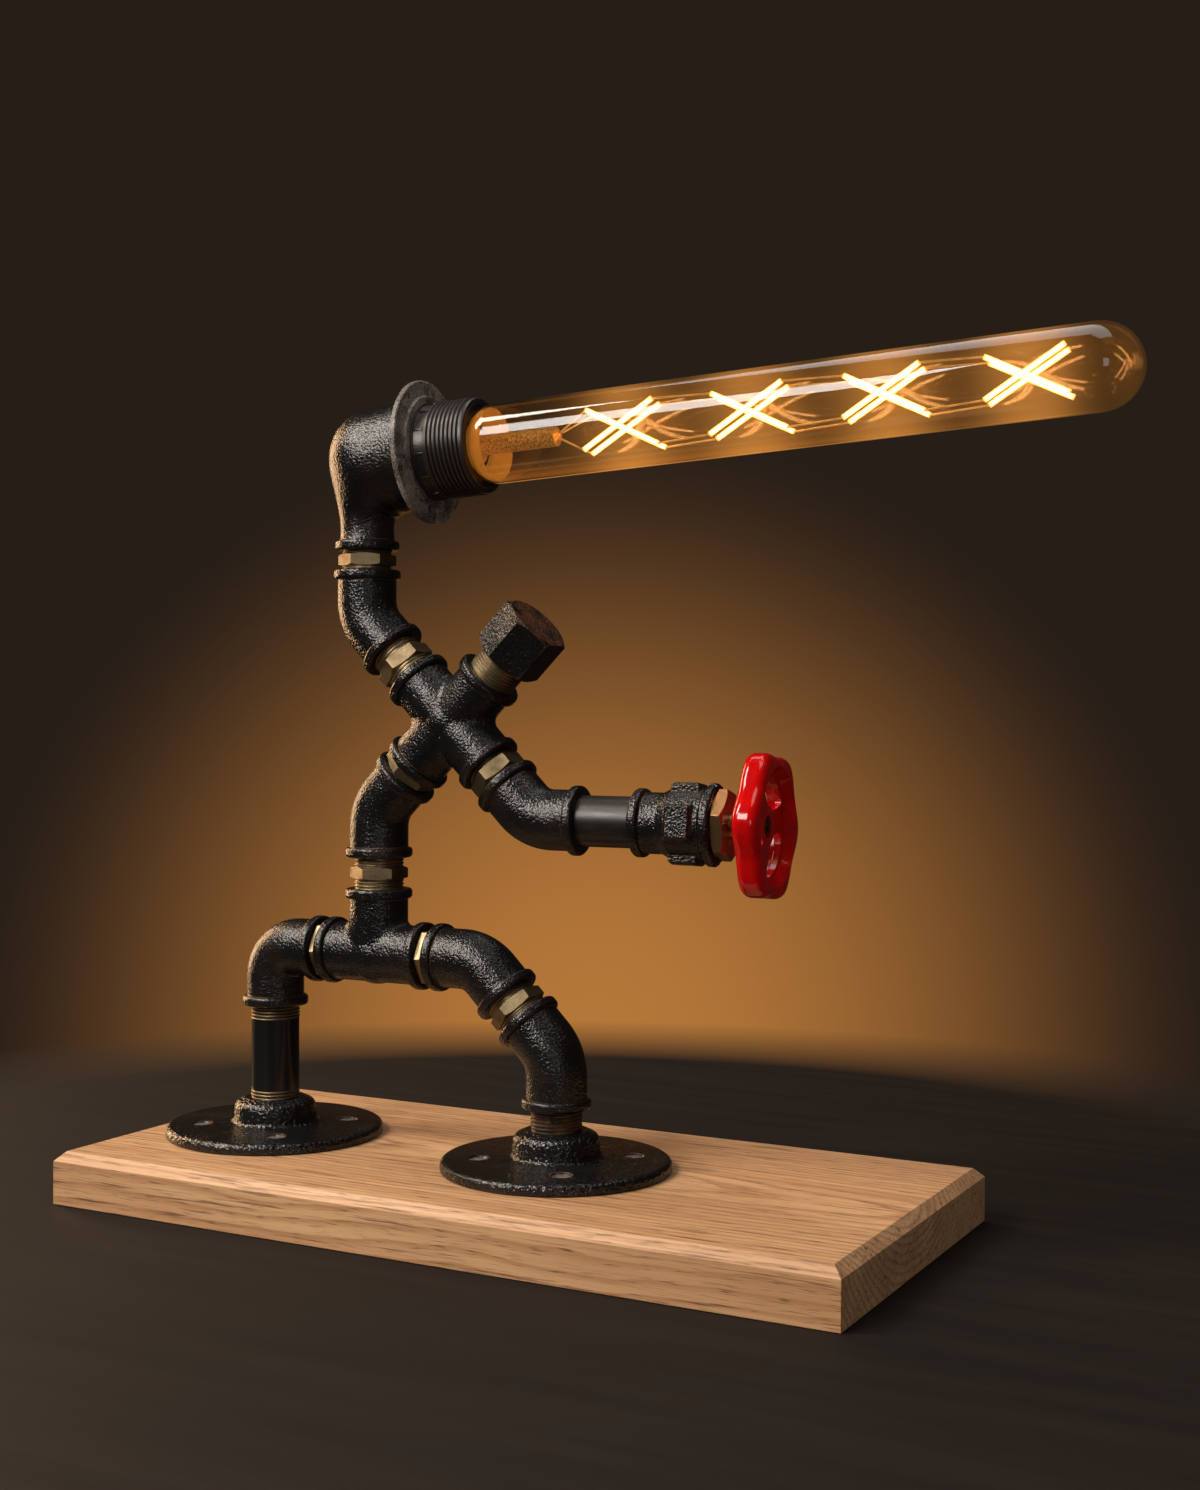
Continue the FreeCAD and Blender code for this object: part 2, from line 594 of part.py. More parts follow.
def head_elbow():
    """Reducing elbow: circular sections that fan round the inside of the bend to the large end."""
    neck, large = HEAD_NECK_RADIUS, HEAD_LARGE_RADIUS
    drop = HEAD_DROP - BEAD_WIDTH
    arm = in_plane(BULB_RISE)
    arm_up = in_plane(BULB_RISE + 90)
    mouth_start = HEAD_REACH - HEAD_MOUTH_LENGTH
    # Outer and inner point of each section, as (along the arm, across it) from the head's centre
    fan = [((-neck, -drop), (neck, -drop)),
           ((-neck, -0.74 * drop), (neck, -0.76 * drop)),
           ((-1.16 * neck, -0.40 * drop), (1.12 * neck, -0.715 * drop)),
           ((-1.28 * neck, 0.06 * drop), (1.24 * neck, -0.69 * drop)),
           ((-0.74 * neck, 0.46 * drop), (1.36 * neck, -1.01 * large)),
           ((0.40 * neck, 0.64 * drop), (1.52 * neck, -large))]
    rings = []
    for outer, inner in fan:
        outer_point = head + RIGHT * outer[0] + UP * outer[1]
        inner_point = head + RIGHT * inner[0] + UP * inner[1]
        across = outer_point - inner_point
        normal = across.cross(Vector(0, 1, 0))
        rings.append(Part.Wire(Part.makeCircle(across.Length / 2, (outer_point + inner_point) / 2, normal)))
    rings.append(Part.Wire(Part.makeCircle(large, head + arm * mouth_start, arm)))
    body = Part.makeLoft(rings, True)
    foot = head - UP * HEAD_DROP
    bead = turned([(0, 0, 0), (HEAD_BEAD_RADIUS, 0, BEAD_ROUND), (HEAD_BEAD_RADIUS, BEAD_WIDTH, BEAD_ROUND),
                   (neck, BEAD_WIDTH, 0), (0, BEAD_WIDTH, 0)], foot, UP)
    mouth = rod(large, head + arm * mouth_start, head + arm * HEAD_REACH)
    outside = body.fuse([bead, mouth])
    cavity = rod(SOCKET_BODY_RADIUS + FIT, head + arm * (SOCKET_BACK - SOCKET_BACK_ROOM),
                 head + arm * HEAD_REACH)
    chamber = Part.makeSphere(HEAD_CHAMBER_RADIUS, head + Vector(HEAD_CHAMBER_X, 0, HEAD_CHAMBER_Z))
    bores = [chamber, rod(CAVITY_RADIUS, foot, head),
             rod(THREAD_RADIUS + FIT, foot, foot + UP * THREAD_DEPTH)]
    return turned_head(outside.cut(cavity.fuse(bores)))


def turned_head(shape):
    """Turns a shape built in the figure's plane about the neck, to where the head stands at rest."""
    shape = shape.copy()
    shape.rotate(head, UP, HEAD_TURN)
    return shape


def turned_arm(shape):
    """Turns a shape built in the figure's plane about the shoulder's thread, to where it stands at rest."""
    shape = shape.copy()
    shape.rotate(upper_arm, DOWN_RIGHT, ARM_TURN)
    return shape


def lamp_socket():
    """Bakelite socket: plain back in the elbow, ring seat, collar, external thread, rim and stepped bore."""
    shell_outer = CAP_RADIUS + FIT + SHELL_WALL + FIT
    shell_back = SHELL_FRONT - SHELL_LENGTH
    block_back = shell_back - CONTACT_BLOCK_LENGTH
    ring_front = HEAD_REACH + SHADE_RING_THICKNESS + SOCKET_LAND
    corners = [(LEAD_ENTRY_RADIUS, SOCKET_BACK, 0), (SOCKET_BODY_RADIUS, SOCKET_BACK, SOCKET_BACK_ROUND),
               (SOCKET_BODY_RADIUS, HEAD_REACH + SEAT, 0), (SOCKET_THREAD_RADIUS, HEAD_REACH + SEAT, 0),
               (SOCKET_THREAD_RADIUS, ring_front, 0), (SOCKET_COLLAR_RADIUS, ring_front, 0),
               (SOCKET_COLLAR_RADIUS, SOCKET_THREAD_START, 0), (SOCKET_THREAD_RADIUS, SOCKET_THREAD_START, 0),
               (SOCKET_THREAD_RADIUS, SOCKET_THREAD_END, 0), (SOCKET_RIM_RADIUS, SOCKET_THREAD_END, 0),
               (SOCKET_RIM_RADIUS, SOCKET_RIM, SOCKET_RIM_ROUND),
               (SOCKET_MOUTH_RADIUS, SOCKET_RIM, SOCKET_RIM_ROUND),
               (SOCKET_MOUTH_RADIUS, SOCKET_RIM - SOCKET_MOUTH_DEPTH, 0),
               (shell_outer, SOCKET_RIM - SOCKET_MOUTH_DEPTH, 0), (shell_outer, block_back, 0),
               (LEAD_ENTRY_RADIUS, block_back, 0)]
    return turned(corners, head, bulb_axis)


def shade_ring():
    back = HEAD_REACH + SEAT
    front = back + SHADE_RING_THICKNESS
    bore = SOCKET_THREAD_RADIUS + FIT
    lip = bore + SHADE_RING_LIP
    ring = turned([(bore, back, 0), (SHADE_RING_RADIUS, back, SHADE_RING_ROUND),
                   (SHADE_RING_RADIUS, back + SHADE_RING_EDGE, SHADE_RING_ROUND),
                   (lip + SHADE_RING_STEP, front - SHADE_RING_STEP, 0), (lip, front, 0), (bore, front, 0)],
                  head, bulb_axis)
    slots = []
    for turn in (0, 180):
        for side in (-1, 1):
            corner = Vector(lip, side * RING_SLOT_OFFSET - RING_SLOT_WIDTH / 2, back + RING_SLOT_FLOOR)
            slot = Part.makeBox(SHADE_RING_RADIUS, RING_SLOT_WIDTH, SHADE_RING_THICKNESS, corner)
            slots.append(placed(slot, head, bulb_axis, turn))
    return ring.cut(slots)


def socket_screw_shell():
    inner = CAP_RADIUS + FIT
    outer = inner + SHELL_WALL
    back = SHELL_FRONT - SHELL_LENGTH
    return turned([(inner, back + SHELL_WALL, 0), (inner, SHELL_FRONT, 0), (outer, SHELL_FRONT, 0),
                   (outer, back, 0), (SHELL_HOLE_RADIUS, back, 0), (SHELL_HOLE_RADIUS, back + SHELL_WALL, 0)],
                  head, bulb_axis)


def socket_contact_block():
    """Insulating block behind the screw shell, with its two terminals' pockets."""
    back = SHELL_FRONT - SHELL_LENGTH - CONTACT_BLOCK_LENGTH
    front = SHELL_FRONT - SHELL_LENGTH - SEAT
    radius = CAP_RADIUS + FIT + SHELL_WALL
    block = turned([(0, back + SEAT, 0), (radius, back + SEAT, 0), (radius, front, 0), (0, front, 0)],
                   head, bulb_axis)
    pockets = []
    for side in (-1, 1):
        corner = Vector(-POCKET_WIDTH / 2, side * POCKET_PLACE - POCKET_DEPTH / 2, back)
        pocket = Part.makeBox(POCKET_WIDTH, POCKET_DEPTH, CONTACT_BLOCK_LENGTH / 2, corner)
        pockets.append(placed(pocket, head, bulb_axis))
    return block.cut(pockets)


def socket_centre_contact():
    """Sprung tongue: a foot on the block and a raised end that meets the bulb's contact."""
    foot = SHELL_FRONT - SHELL_LENGTH
    tip = bulb_contact - SEAT
    end = TONGUE_HEEL + TONGUE_THICKNESS
    steps = [(TONGUE_FOOT, foot), (TONGUE_HEEL, foot), (-TONGUE_HEEL, tip - TONGUE_THICKNESS),
             (-end, tip - TONGUE_THICKNESS), (-end, tip), (-TONGUE_HEEL, tip),
             (TONGUE_HEEL, foot + TONGUE_THICKNESS), (TONGUE_FOOT, foot + TONGUE_THICKNESS)]
    points = [Vector(across, -TONGUE_WIDTH / 2, station) for across, station in steps]
    tongue = Part.Face(Part.makePolygon(points + points[:1])).extrude(Vector(0, TONGUE_WIDTH, 0))
    return placed(tongue, head, bulb_axis)


# --- Bulb --------------------------------------------------------------------------------------

def bulb_cap():
    back = CAP_FRONT - CAP_LENGTH_BULB
    inner = CAP_RADIUS - CAP_WALL
    return turned([(inner, back + CAP_WALL, 0), (inner, CAP_FRONT, 0), (CAP_RADIUS, CAP_FRONT, 0),
                   (CAP_RADIUS, back, CAP_EDGE_ROUND), (CAP_HOLE_RADIUS, back, 0),
                   (CAP_HOLE_RADIUS, back + CAP_WALL, 0)],
                  bulb_foot, bulb_axis)


def bulb_cap_insulator():
    back = CAP_FRONT - CAP_LENGTH_BULB
    end = back - CAP_CONE_LENGTH
    plug = CAP_HOLE_RADIUS - FIT
    return turned([(0, back + INSULATOR_PLUG, 0), (plug, back + INSULATOR_PLUG, 0), (plug, back, 0),
                   (plug - INSULATOR_STEP, back - INSULATOR_STEP, 0),
                   (CAP_CONTACT_RADIUS + 2 * INSULATOR_STEP, end, 0), (0, end, 0)], bulb_foot, bulb_axis)


def bulb_centre_contact():
    end = CAP_FRONT - CAP_LENGTH_BULB - CAP_CONE_LENGTH
    return turned([(0, end, 0), (CAP_CONTACT_RADIUS, end, 0),
                   (CAP_CONTACT_RADIUS, end - CAP_CONTACT_HEIGHT, CAP_CONTACT_ROUND),
                   (0, end - CAP_CONTACT_HEIGHT, 0)], bulb_foot, bulb_axis)


def glass_wire(offset):
    """Half outline of the envelope in the XZ plane, offset inwards, from its neck to its tip."""
    neck = CAP_RADIUS - CAP_WALL - 2 * FIT - offset
    tube = TUBE_RADIUS - offset
    shoulder_back = CAP_FRONT + SHOULDER_OUT
    crown = BULB_TIP - TUBE_RADIUS
    neck_end = Vector(neck, 0, CAP_FRONT - GLASS_NECK)
    shoulder = Part.BezierCurve()
    middle = (shoulder_back + SHOULDER_FRONT) / 2
    shoulder.setPoles([Vector(neck, 0, shoulder_back), Vector(neck, 0, middle - SHOULDER_NECK_PULL),
                       Vector(tube, 0, middle - SHOULDER_TUBE_PULL), Vector(tube, 0, SHOULDER_FRONT)])
    quarter = math.sqrt(0.5)
    dome = Part.Arc(Vector(tube, 0, crown), Vector(tube * quarter, 0, crown + tube * quarter),
                    Vector(0, 0, crown + tube))
    return [Part.makeLine(neck_end, Vector(neck, 0, shoulder_back)), shoulder.toShape(),
            Part.makeLine(Vector(tube, 0, SHOULDER_FRONT), Vector(tube, 0, crown)), dome.toShape()]


def bulb_glass():
    outer = glass_wire(0)
    inner = glass_wire(GLASS_WALL)
    edges = outer + inner + [Part.makeLine(outer[0].Vertexes[0].Point, inner[0].Vertexes[0].Point),
                             Part.makeLine(outer[-1].Vertexes[-1].Point, inner[-1].Vertexes[-1].Point)]
    face = Part.Face(Part.Wire(Part.__sortEdges__(edges)))
    return placed(face.revolve(Vector(0, 0, 0), UP, 360), bulb_foot, bulb_axis)


def bulb_stem():
    """Glass stem: a flare sealed in the neck, a tube and a pinched tip that holds the wires."""
    neck = CAP_RADIUS - CAP_WALL - 3 * FIT - GLASS_WALL
    return turned([(0, STEM_BASE, 0), (neck, STEM_BASE, 0), (neck, STEM_BASE + STEM_RIM, 0),
                   (STEM_FLARE_RADIUS, STEM_BASE + STEM_FLARE, STEM_FLARE_ROUND),
                   (STEM_RADIUS, STEM_BASE + STEM_TUBE, STEM_TUBE_ROUND),
                   (STEM_RADIUS, STEM_TIP - STEM_PINCH, STEM_PINCH_ROUND),
                   (STEM_PINCH_RADIUS, STEM_TIP - STEM_RIM, STEM_TIP_ROUND),
                   (0, STEM_TIP, 0)], bulb_foot, bulb_axis)


def rod_ends(group, layer, slope):
    """Ends of one light rod in the bulb's own frame: x down, y away from the front, z along the axis."""
    centre = ROD_FIRST + ROD_PITCH * group
    low = Vector(-slope * ROD_HALF_SPREAD, layer * ROD_LAYER, centre - ROD_HALF_LENGTH)
    high = Vector(slope * ROD_HALF_SPREAD, (layer + ROD_TILT * slope) * ROD_LAYER, centre + ROD_HALF_LENGTH)
    return low, high


def light_rods():
    """Four light rods in each group: two that cross in front of the axis and two behind it."""
    rods = []
    for group in range(ROD_GROUPS):
        for layer in (-1, 1):
            for slope in (-1, 1):
                low, high = rod_ends(group, layer + ROD_STAGGER * slope, slope)
                rods.append(placed(Part.makeCompound([rod(ROD_RADIUS, low, high)]), bulb_foot, bulb_axis))
    return Part.makeCompound([piece for compound in rods for piece in compound.Solids])


def filament_supports():
    """Lead wires from the stem's tip to the first rods, and from each group of rods to the next."""
    pieces = []
    for layer in (-1, 1):
        for slope in (-1, 1):
            first = rod_ends(0, layer + ROD_STAGGER * slope, slope)[0]
            pieces.append(rod(WIRE_RADIUS, Vector(0, 0, STEM_TIP - STEM_PINCH / 2), first))
            for group in range(ROD_GROUPS - 1):
                pieces.append(rod(WIRE_RADIUS, rod_ends(group, layer + ROD_STAGGER * slope, slope)[1],
                                  rod_ends(group + 1, layer - ROD_STAGGER * slope, -slope)[0]))
    supports = pieces[0].fuse(pieces[1:])
    return placed(supports.cut(plain_rods_and_stem()), bulb_foot, bulb_axis)


def plain_rods_and_stem():
    """The rods and the stem's tip in the bulb's own frame, which the support wires end against."""
    shapes = [rod(STEM_RADIUS, Vector(0, 0, STEM_BASE), Vector(0, 0, STEM_TIP))]
    for group in range(ROD_GROUPS):
        for layer in (-1, 1):
            for slope in (-1, 1):
                low, high = rod_ends(group, layer + ROD_STAGGER * slope, slope)
                shapes.append(rod(ROD_RADIUS, low, high))
    return shapes


# --- Raised arm, forearm, switch and wheel -----------------------------------------------------

def hex_cap():
    """Blind hex cap, threaded on the raised arm's nipple."""
    cap = hexagon(CAP_FLATS, 0, CAP_LENGTH, CAP_CHAMFER)
    cap = cap.cut(Part.makeCylinder(THREAD_RADIUS + FIT, THREAD_DEPTH))
    return placed(cap, chest + UP_RIGHT * (CROSS_ARM + CAP_GAP), UP_RIGHT, CAP_TURN)


def arm_coupling():
    """Cast reducing coupling: a bead at each end and lugs round its large body."""
    small, large = COUPLING_SMALL_BODY, COUPLING_LARGE_BODY
    end = COUPLING_LENGTH
    corners = [(0, 0, 0), (COUPLING_SMALL_BEAD, 0, BEAD_ROUND), (COUPLING_SMALL_BEAD, BEAD_WIDTH, BEAD_ROUND),
               (small, BEAD_WIDTH, COUPLING_FOOT_ROUND),
               (small, COUPLING_STEP - COUPLING_STEP_BACK, COUPLING_STEP_ROUND),
               (large, COUPLING_STEP + COUPLING_STEP_FRONT, COUPLING_STEP_ROUND),
               (large, end - BEAD_WIDTH, COUPLING_FOOT_ROUND),
               (COUPLING_LARGE_BEAD, end - BEAD_WIDTH, BEAD_ROUND),
               (COUPLING_LARGE_BEAD, end, BEAD_ROUND), (0, end, 0)]
    body = turned(corners, Vector(0, 0, 0), UP)
    for index in range(LUG_COUNT):
        lug = Part.makeBox(LUG_RADIUS, LUG_WIDTH, LUG_LENGTH,
                           Vector(0, -LUG_WIDTH / 2, LUG_STATION - LUG_LENGTH / 2))
        tops = [edge for edge in lug.Edges if min(vertex.X for vertex in edge.Vertexes) > LUG_RADIUS / 2]
        lug = lug.makeChamfer(LUG_CHAMFER, tops)
        lug.rotate(Vector(0, 0, 0), UP, 360 / LUG_COUNT * index)
        body = body.fuse(lug)
    for index in range(END_LUG_COUNT):
        lug = Part.makeBox(END_LUG_RADIUS, END_LUG_WIDTH, BEAD_WIDTH - 2 * END_LUG_INSET,
                           Vector(0, -END_LUG_WIDTH / 2, end - BEAD_WIDTH + END_LUG_INSET))
        tops = [edge for edge in lug.Edges if min(vertex.X for vertex in edge.Vertexes) > END_LUG_RADIUS / 2]
        lug = lug.makeChamfer(LUG_CHAMFER, tops)
        lug.rotate(Vector(0, 0, 0), UP, 360 / END_LUG_COUNT * index)
        body = body.fuse(lug)
    bores = [Part.makeCylinder(THREAD_RADIUS + FIT, THREAD_DEPTH),
             Part.makeCylinder(SWITCH_RADIUS + COUPLING_BORE_ROOM, COUPLING_LENGTH),
             Part.makeCylinder(THREAD_RADIUS + FIT, THREAD_DEPTH, Vector(0, 0, end - THREAD_DEPTH))]
    return placed(body.removeSplitter().cut(bores), wrist, RIGHT)


def hex_bushing():
    """Brass bushing: thread in the coupling, hex head, and a bore for the switch's neck."""
    length = ENGAGEMENT - SWITCH_SET_BACK
    threaded = Part.makeCylinder(THREAD_RADIUS, length, Vector(0, 0, -length))
    collar = hexagon(BUSHING_FLATS, SEAT, BUSHING_HEX, BUSHING_CHAMFER)
    bushing = threaded.fuse([collar, Part.makeCylinder(THREAD_RADIUS, SEAT)])
    bore = Part.makeCylinder(SWITCH_NECK_RADIUS + FIT, BUSHING_HEX + length, Vector(0, 0, -length))
    return placed(bushing.removeSplitter().cut(bore), palm, RIGHT, BUSHING_TURN)


def switch_back():
    """Station of the rotary switch's back, from the bushing's seat on the coupling."""
    return SWITCH_SET_BACK - ENGAGEMENT - SEAT - SWITCH_LENGTH


def rotary_switch():
    """Switch housing behind the bushing, with the threaded neck that holds it there."""
    back = switch_back()
    front = back + SWITCH_LENGTH
    inside = SWITCH_RADIUS - SWITCH_WALL
    bore = SPINDLE_RADIUS + FIT
    end = BUSHING_HEX + SWITCH_NECK_OUT
    corners = [(0, back, 0), (SWITCH_RADIUS, back, SWITCH_ROUND), (SWITCH_RADIUS, front, SWITCH_ROUND),
               (SWITCH_NECK_RADIUS, front, 0), (SWITCH_NECK_RADIUS, end, SWITCH_NECK_ROUND), (bore, end, 0),
               (bore, front - SWITCH_WALL, 0), (inside, front - SWITCH_WALL, 0),
               (inside, back + SWITCH_BASE, 0), (0, back + SWITCH_BASE, 0)]
    return turned(corners, palm, RIGHT)


def rotor_span():
    """Stations of the switch rotor, which runs between the walls of the housing."""
    low = switch_back() + SWITCH_BASE + ROTOR_ROOM
    return low, low + ROTOR_LENGTH


def switch_rotor():
    low, high = rotor_span()
    disc = turned([(SPINDLE_RADIUS + FIT, low, 0), (ROTOR_RADIUS, low, 0), (ROTOR_RADIUS, high, 0),
                   (SPINDLE_RADIUS + FIT, high, 0)], Vector(0, 0, 0), UP)
    notch = Part.makeBox(ROTOR_RADIUS, ROTOR_NOTCH_WIDTH, ROTOR_LENGTH,
                         Vector(SPINDLE_RADIUS + ROTOR_NOTCH_FLOOR, -ROTOR_NOTCH_WIDTH / 2, low))
    return placed(disc.cut(notch), palm, RIGHT)


def switch_spindle():
    start = palm + RIGHT * (rotor_span()[0] - SPINDLE_BACK)
    end = hub_seat() - RIGHT * SEAT
    spindle = rod(SPINDLE_RADIUS, start, end)
    return spindle.cut(rod(WHEEL_SCREW_SHANK + FIT, end - RIGHT * (WHEEL_SCREW_LENGTH + TAP_ROOM), end))


def hub_seat():
    """Floor of the hub's recess, which the washer bears on."""
    return wheel_rim_back + RIGHT * (WHEEL_DEPTH - WEB_SETBACK - HUB_RECESS_DEPTH)


def lobed_disc(low, high):
    """Disc about Z whose edge swells into equal lobes, from the lobe turn on."""
    middle = WHEEL_RADIUS - WHEEL_NOTCH / 2
    points = []
    for index in range(4 * WHEEL_LOBES):
        angle = 2 * math.pi * index / (4 * WHEEL_LOBES)
        radius = middle + WHEEL_NOTCH / 2 * math.cos(WHEEL_LOBES * (angle - math.radians(WHEEL_LOBE_TURN)))
        points.append(Vector(radius * math.cos(angle), radius * math.sin(angle), low))
    curve = Part.BSplineCurve()
    curve.interpolate(Points=points, PeriodicFlag=True)
    return Part.Face(Part.Wire(curve.toShape())).extrude(Vector(0, 0, high - low))


def hand_wheel():
    """Cast wheel: lobed rounded rim, dished front, web with three wide spokes, and a hub."""
    web_front = WHEEL_DEPTH - WEB_SETBACK
    web_back = web_front - WEB_THICKNESS
    disc = lobed_disc(0, WHEEL_DEPTH)
    rims = [edge for edge in disc.Edges if len(edge.Vertexes) == 1 or
            max(vertex.Z for vertex in edge.Vertexes) - min(vertex.Z for vertex in edge.Vertexes) < 0.01]
    disc = disc.makeFillet(WHEEL_ROUND, rims)
    dish = turned([(0, web_front, 0), (WHEEL_DISH_FLOOR, web_front, DISH_ROUND),
                   (WHEEL_DISH_RADIUS, WHEEL_DEPTH, 0), (0, WHEEL_DEPTH, 0)], Vector(0, 0, 0), UP)
    relief = turned([(HUB_BOSS_RADIUS, 0, 0), (WHEEL_DISH_FLOOR, 0, 0),
                     (WHEEL_DISH_FLOOR, web_back, RELIEF_ROUND), (HUB_BOSS_RADIUS, web_back, 0)],
                    Vector(0, 0, 0), UP)
    wheel = disc.cut([dish, relief])
    boss_foot, web_foot = Vector(0, 0, -HUB_BOSS_BACK), Vector(0, 0, web_back)
    wheel = wheel.fuse(Part.makeCylinder(HUB_BOSS_RADIUS, web_front + HUB_BOSS_BACK, boss_foot))
    ring = Part.makeCylinder(WHEEL_DISH_FLOOR - WINDOW_TO_RIM, WEB_THICKNESS, web_foot)
    ring = ring.cut(Part.makeCylinder(HUB_BOSS_RADIUS + WINDOW_TO_BOSS, WEB_THICKNESS, web_foot))
    for index in range(SPOKE_COUNT):
        spoke = Part.makeBox(WHEEL_RADIUS, SPOKE_WIDTH, WEB_THICKNESS, Vector(0, -SPOKE_WIDTH / 2, web_back))
        spoke.rotate(Vector(0, 0, 0), UP, 90 + SPOKE_TURN + 360 / SPOKE_COUNT * index)
        ring = ring.cut(spoke)
    windows = []
    for window in ring.Solids:
        uprights = [edge for edge in window.Edges
                    if len(edge.Vertexes) == 2 and abs(edge.Vertexes[0].Z - edge.Vertexes[1].Z) > 1]
        windows.append(window.makeFillet(WINDOW_ROUND, uprights))
    bore = Part.makeCylinder(SPINDLE_RADIUS + FIT, web_front + HUB_BOSS_BACK, boss_foot)
    recess = Part.makeCylinder(HUB_RECESS_RADIUS, HUB_RECESS_DEPTH, Vector(0, 0, web_front - HUB_RECESS_DEPTH))
    return placed(wheel.removeSplitter().cut(windows + [bore, recess]), wheel_rim_back, RIGHT)


def wheel_washer():
    hole = WHEEL_SCREW_SHANK + FIT
    return turned([(hole, 0, 0), (WASHER_RADIUS, 0, 0), (WASHER_RADIUS, WASHER_THICKNESS, 0),
                   (hole, WASHER_THICKNESS, 0)], hub_seat(), RIGHT)


def wheel_screw():
    seat = hub_seat() + RIGHT * WASHER_THICKNESS
    screw = turned([(0, -WHEEL_SCREW_LENGTH, 0), (WHEEL_SCREW_SHANK, -WHEEL_SCREW_LENGTH, 0),
                    (WHEEL_SCREW_SHANK, 0, 0), (WHEEL_SCREW_HEAD, 0, 0),
                    (WHEEL_SCREW_HEAD, WHEEL_SCREW_HEIGHT, WHEEL_SCREW_ROUND), (0, WHEEL_SCREW_HEIGHT, 0)],
                   seat, RIGHT)
    corner = seat + Vector(WHEEL_SCREW_HEIGHT - WHEEL_SLOT_DEPTH, -WHEEL_SCREW_HEAD, -WHEEL_SLOT_WIDTH / 2)
    return screw.cut(Part.makeBox(WHEEL_SLOT_DEPTH, 2 * WHEEL_SCREW_HEAD, WHEEL_SLOT_WIDTH, corner))


# --- Wiring ------------------------------------------------------------------------------------

def lead_base():
    foot = Vector(left_knee.x, FIGURE_Y, BOARD_THICKNESS)
    return piped([foot, left_knee, hip, waist - UP * HALF_ELBOW_ARM], LEAD_RADIUS, LEAD_BEND)


def lead_torso():
    """Trunk from the waist to the splice in the chest, and a branch to the neck and to the arm."""
    trunk = piped([waist - UP * HALF_ELBOW_ARM, waist, chest - UP_RIGHT * (SPLICE_LENGTH / 2)],
                  LEAD_RADIUS, HALF_LEAD_BEND)
    to_neck = rod(LEAD_RADIUS, chest + UP_LEFT * SPLICE_RADIUS, nape - UP_LEFT * HALF_ELBOW_ARM)
    to_arm = rod(LEAD_RADIUS, chest + DOWN_RIGHT * SPLICE_RADIUS, upper_arm - DOWN_RIGHT * HALF_ELBOW_ARM)
    return Part.makeCompound([trunk, to_neck, to_arm])


def lead_splice():
    """Connector in the chest that joins the trunk and the two branches."""
    block = Part.makeBox(2 * SPLICE_RADIUS, 2 * SPLICE_RADIUS, SPLICE_LENGTH,
                         Vector(-SPLICE_RADIUS, -SPLICE_RADIUS, -SPLICE_LENGTH / 2))
    uprights = [edge for edge in block.Edges if abs(edge.Vertexes[0].Z - edge.Vertexes[1].Z) > 1]
    return placed(block.makeChamfer(SPLICE_CHAMFER, uprights), chest, UP_RIGHT)


def lead_neck():
    return piped([nape - UP_LEFT * HALF_ELBOW_ARM, nape, head - UP * HEAD_DROP], LEAD_RADIUS, HALF_LEAD_BEND)


def lead_head():
    end = SHELL_FRONT - SHELL_LENGTH - CONTACT_BLOCK_LENGTH
    return piped([head - UP * HEAD_DROP, head, on_bulb_axis(end)], LEAD_RADIUS, HEAD_LEAD_BEND)


def lead_arm():
    return piped([upper_arm - DOWN_RIGHT * HALF_ELBOW_ARM, upper_arm, palm + RIGHT * switch_back()],
                 LEAD_RADIUS, HALF_LEAD_BEND)


# --- Assembly ----------------------------------------------------------------------------------

def close_nipple(face, direction, gap, after=ENGAGEMENT):
    """Nipple that shows only its thread."""
    return plain_nipple(face, direction, gap, [(THREAD_CREST, gap - SEAT)], ENGAGEMENT, after)


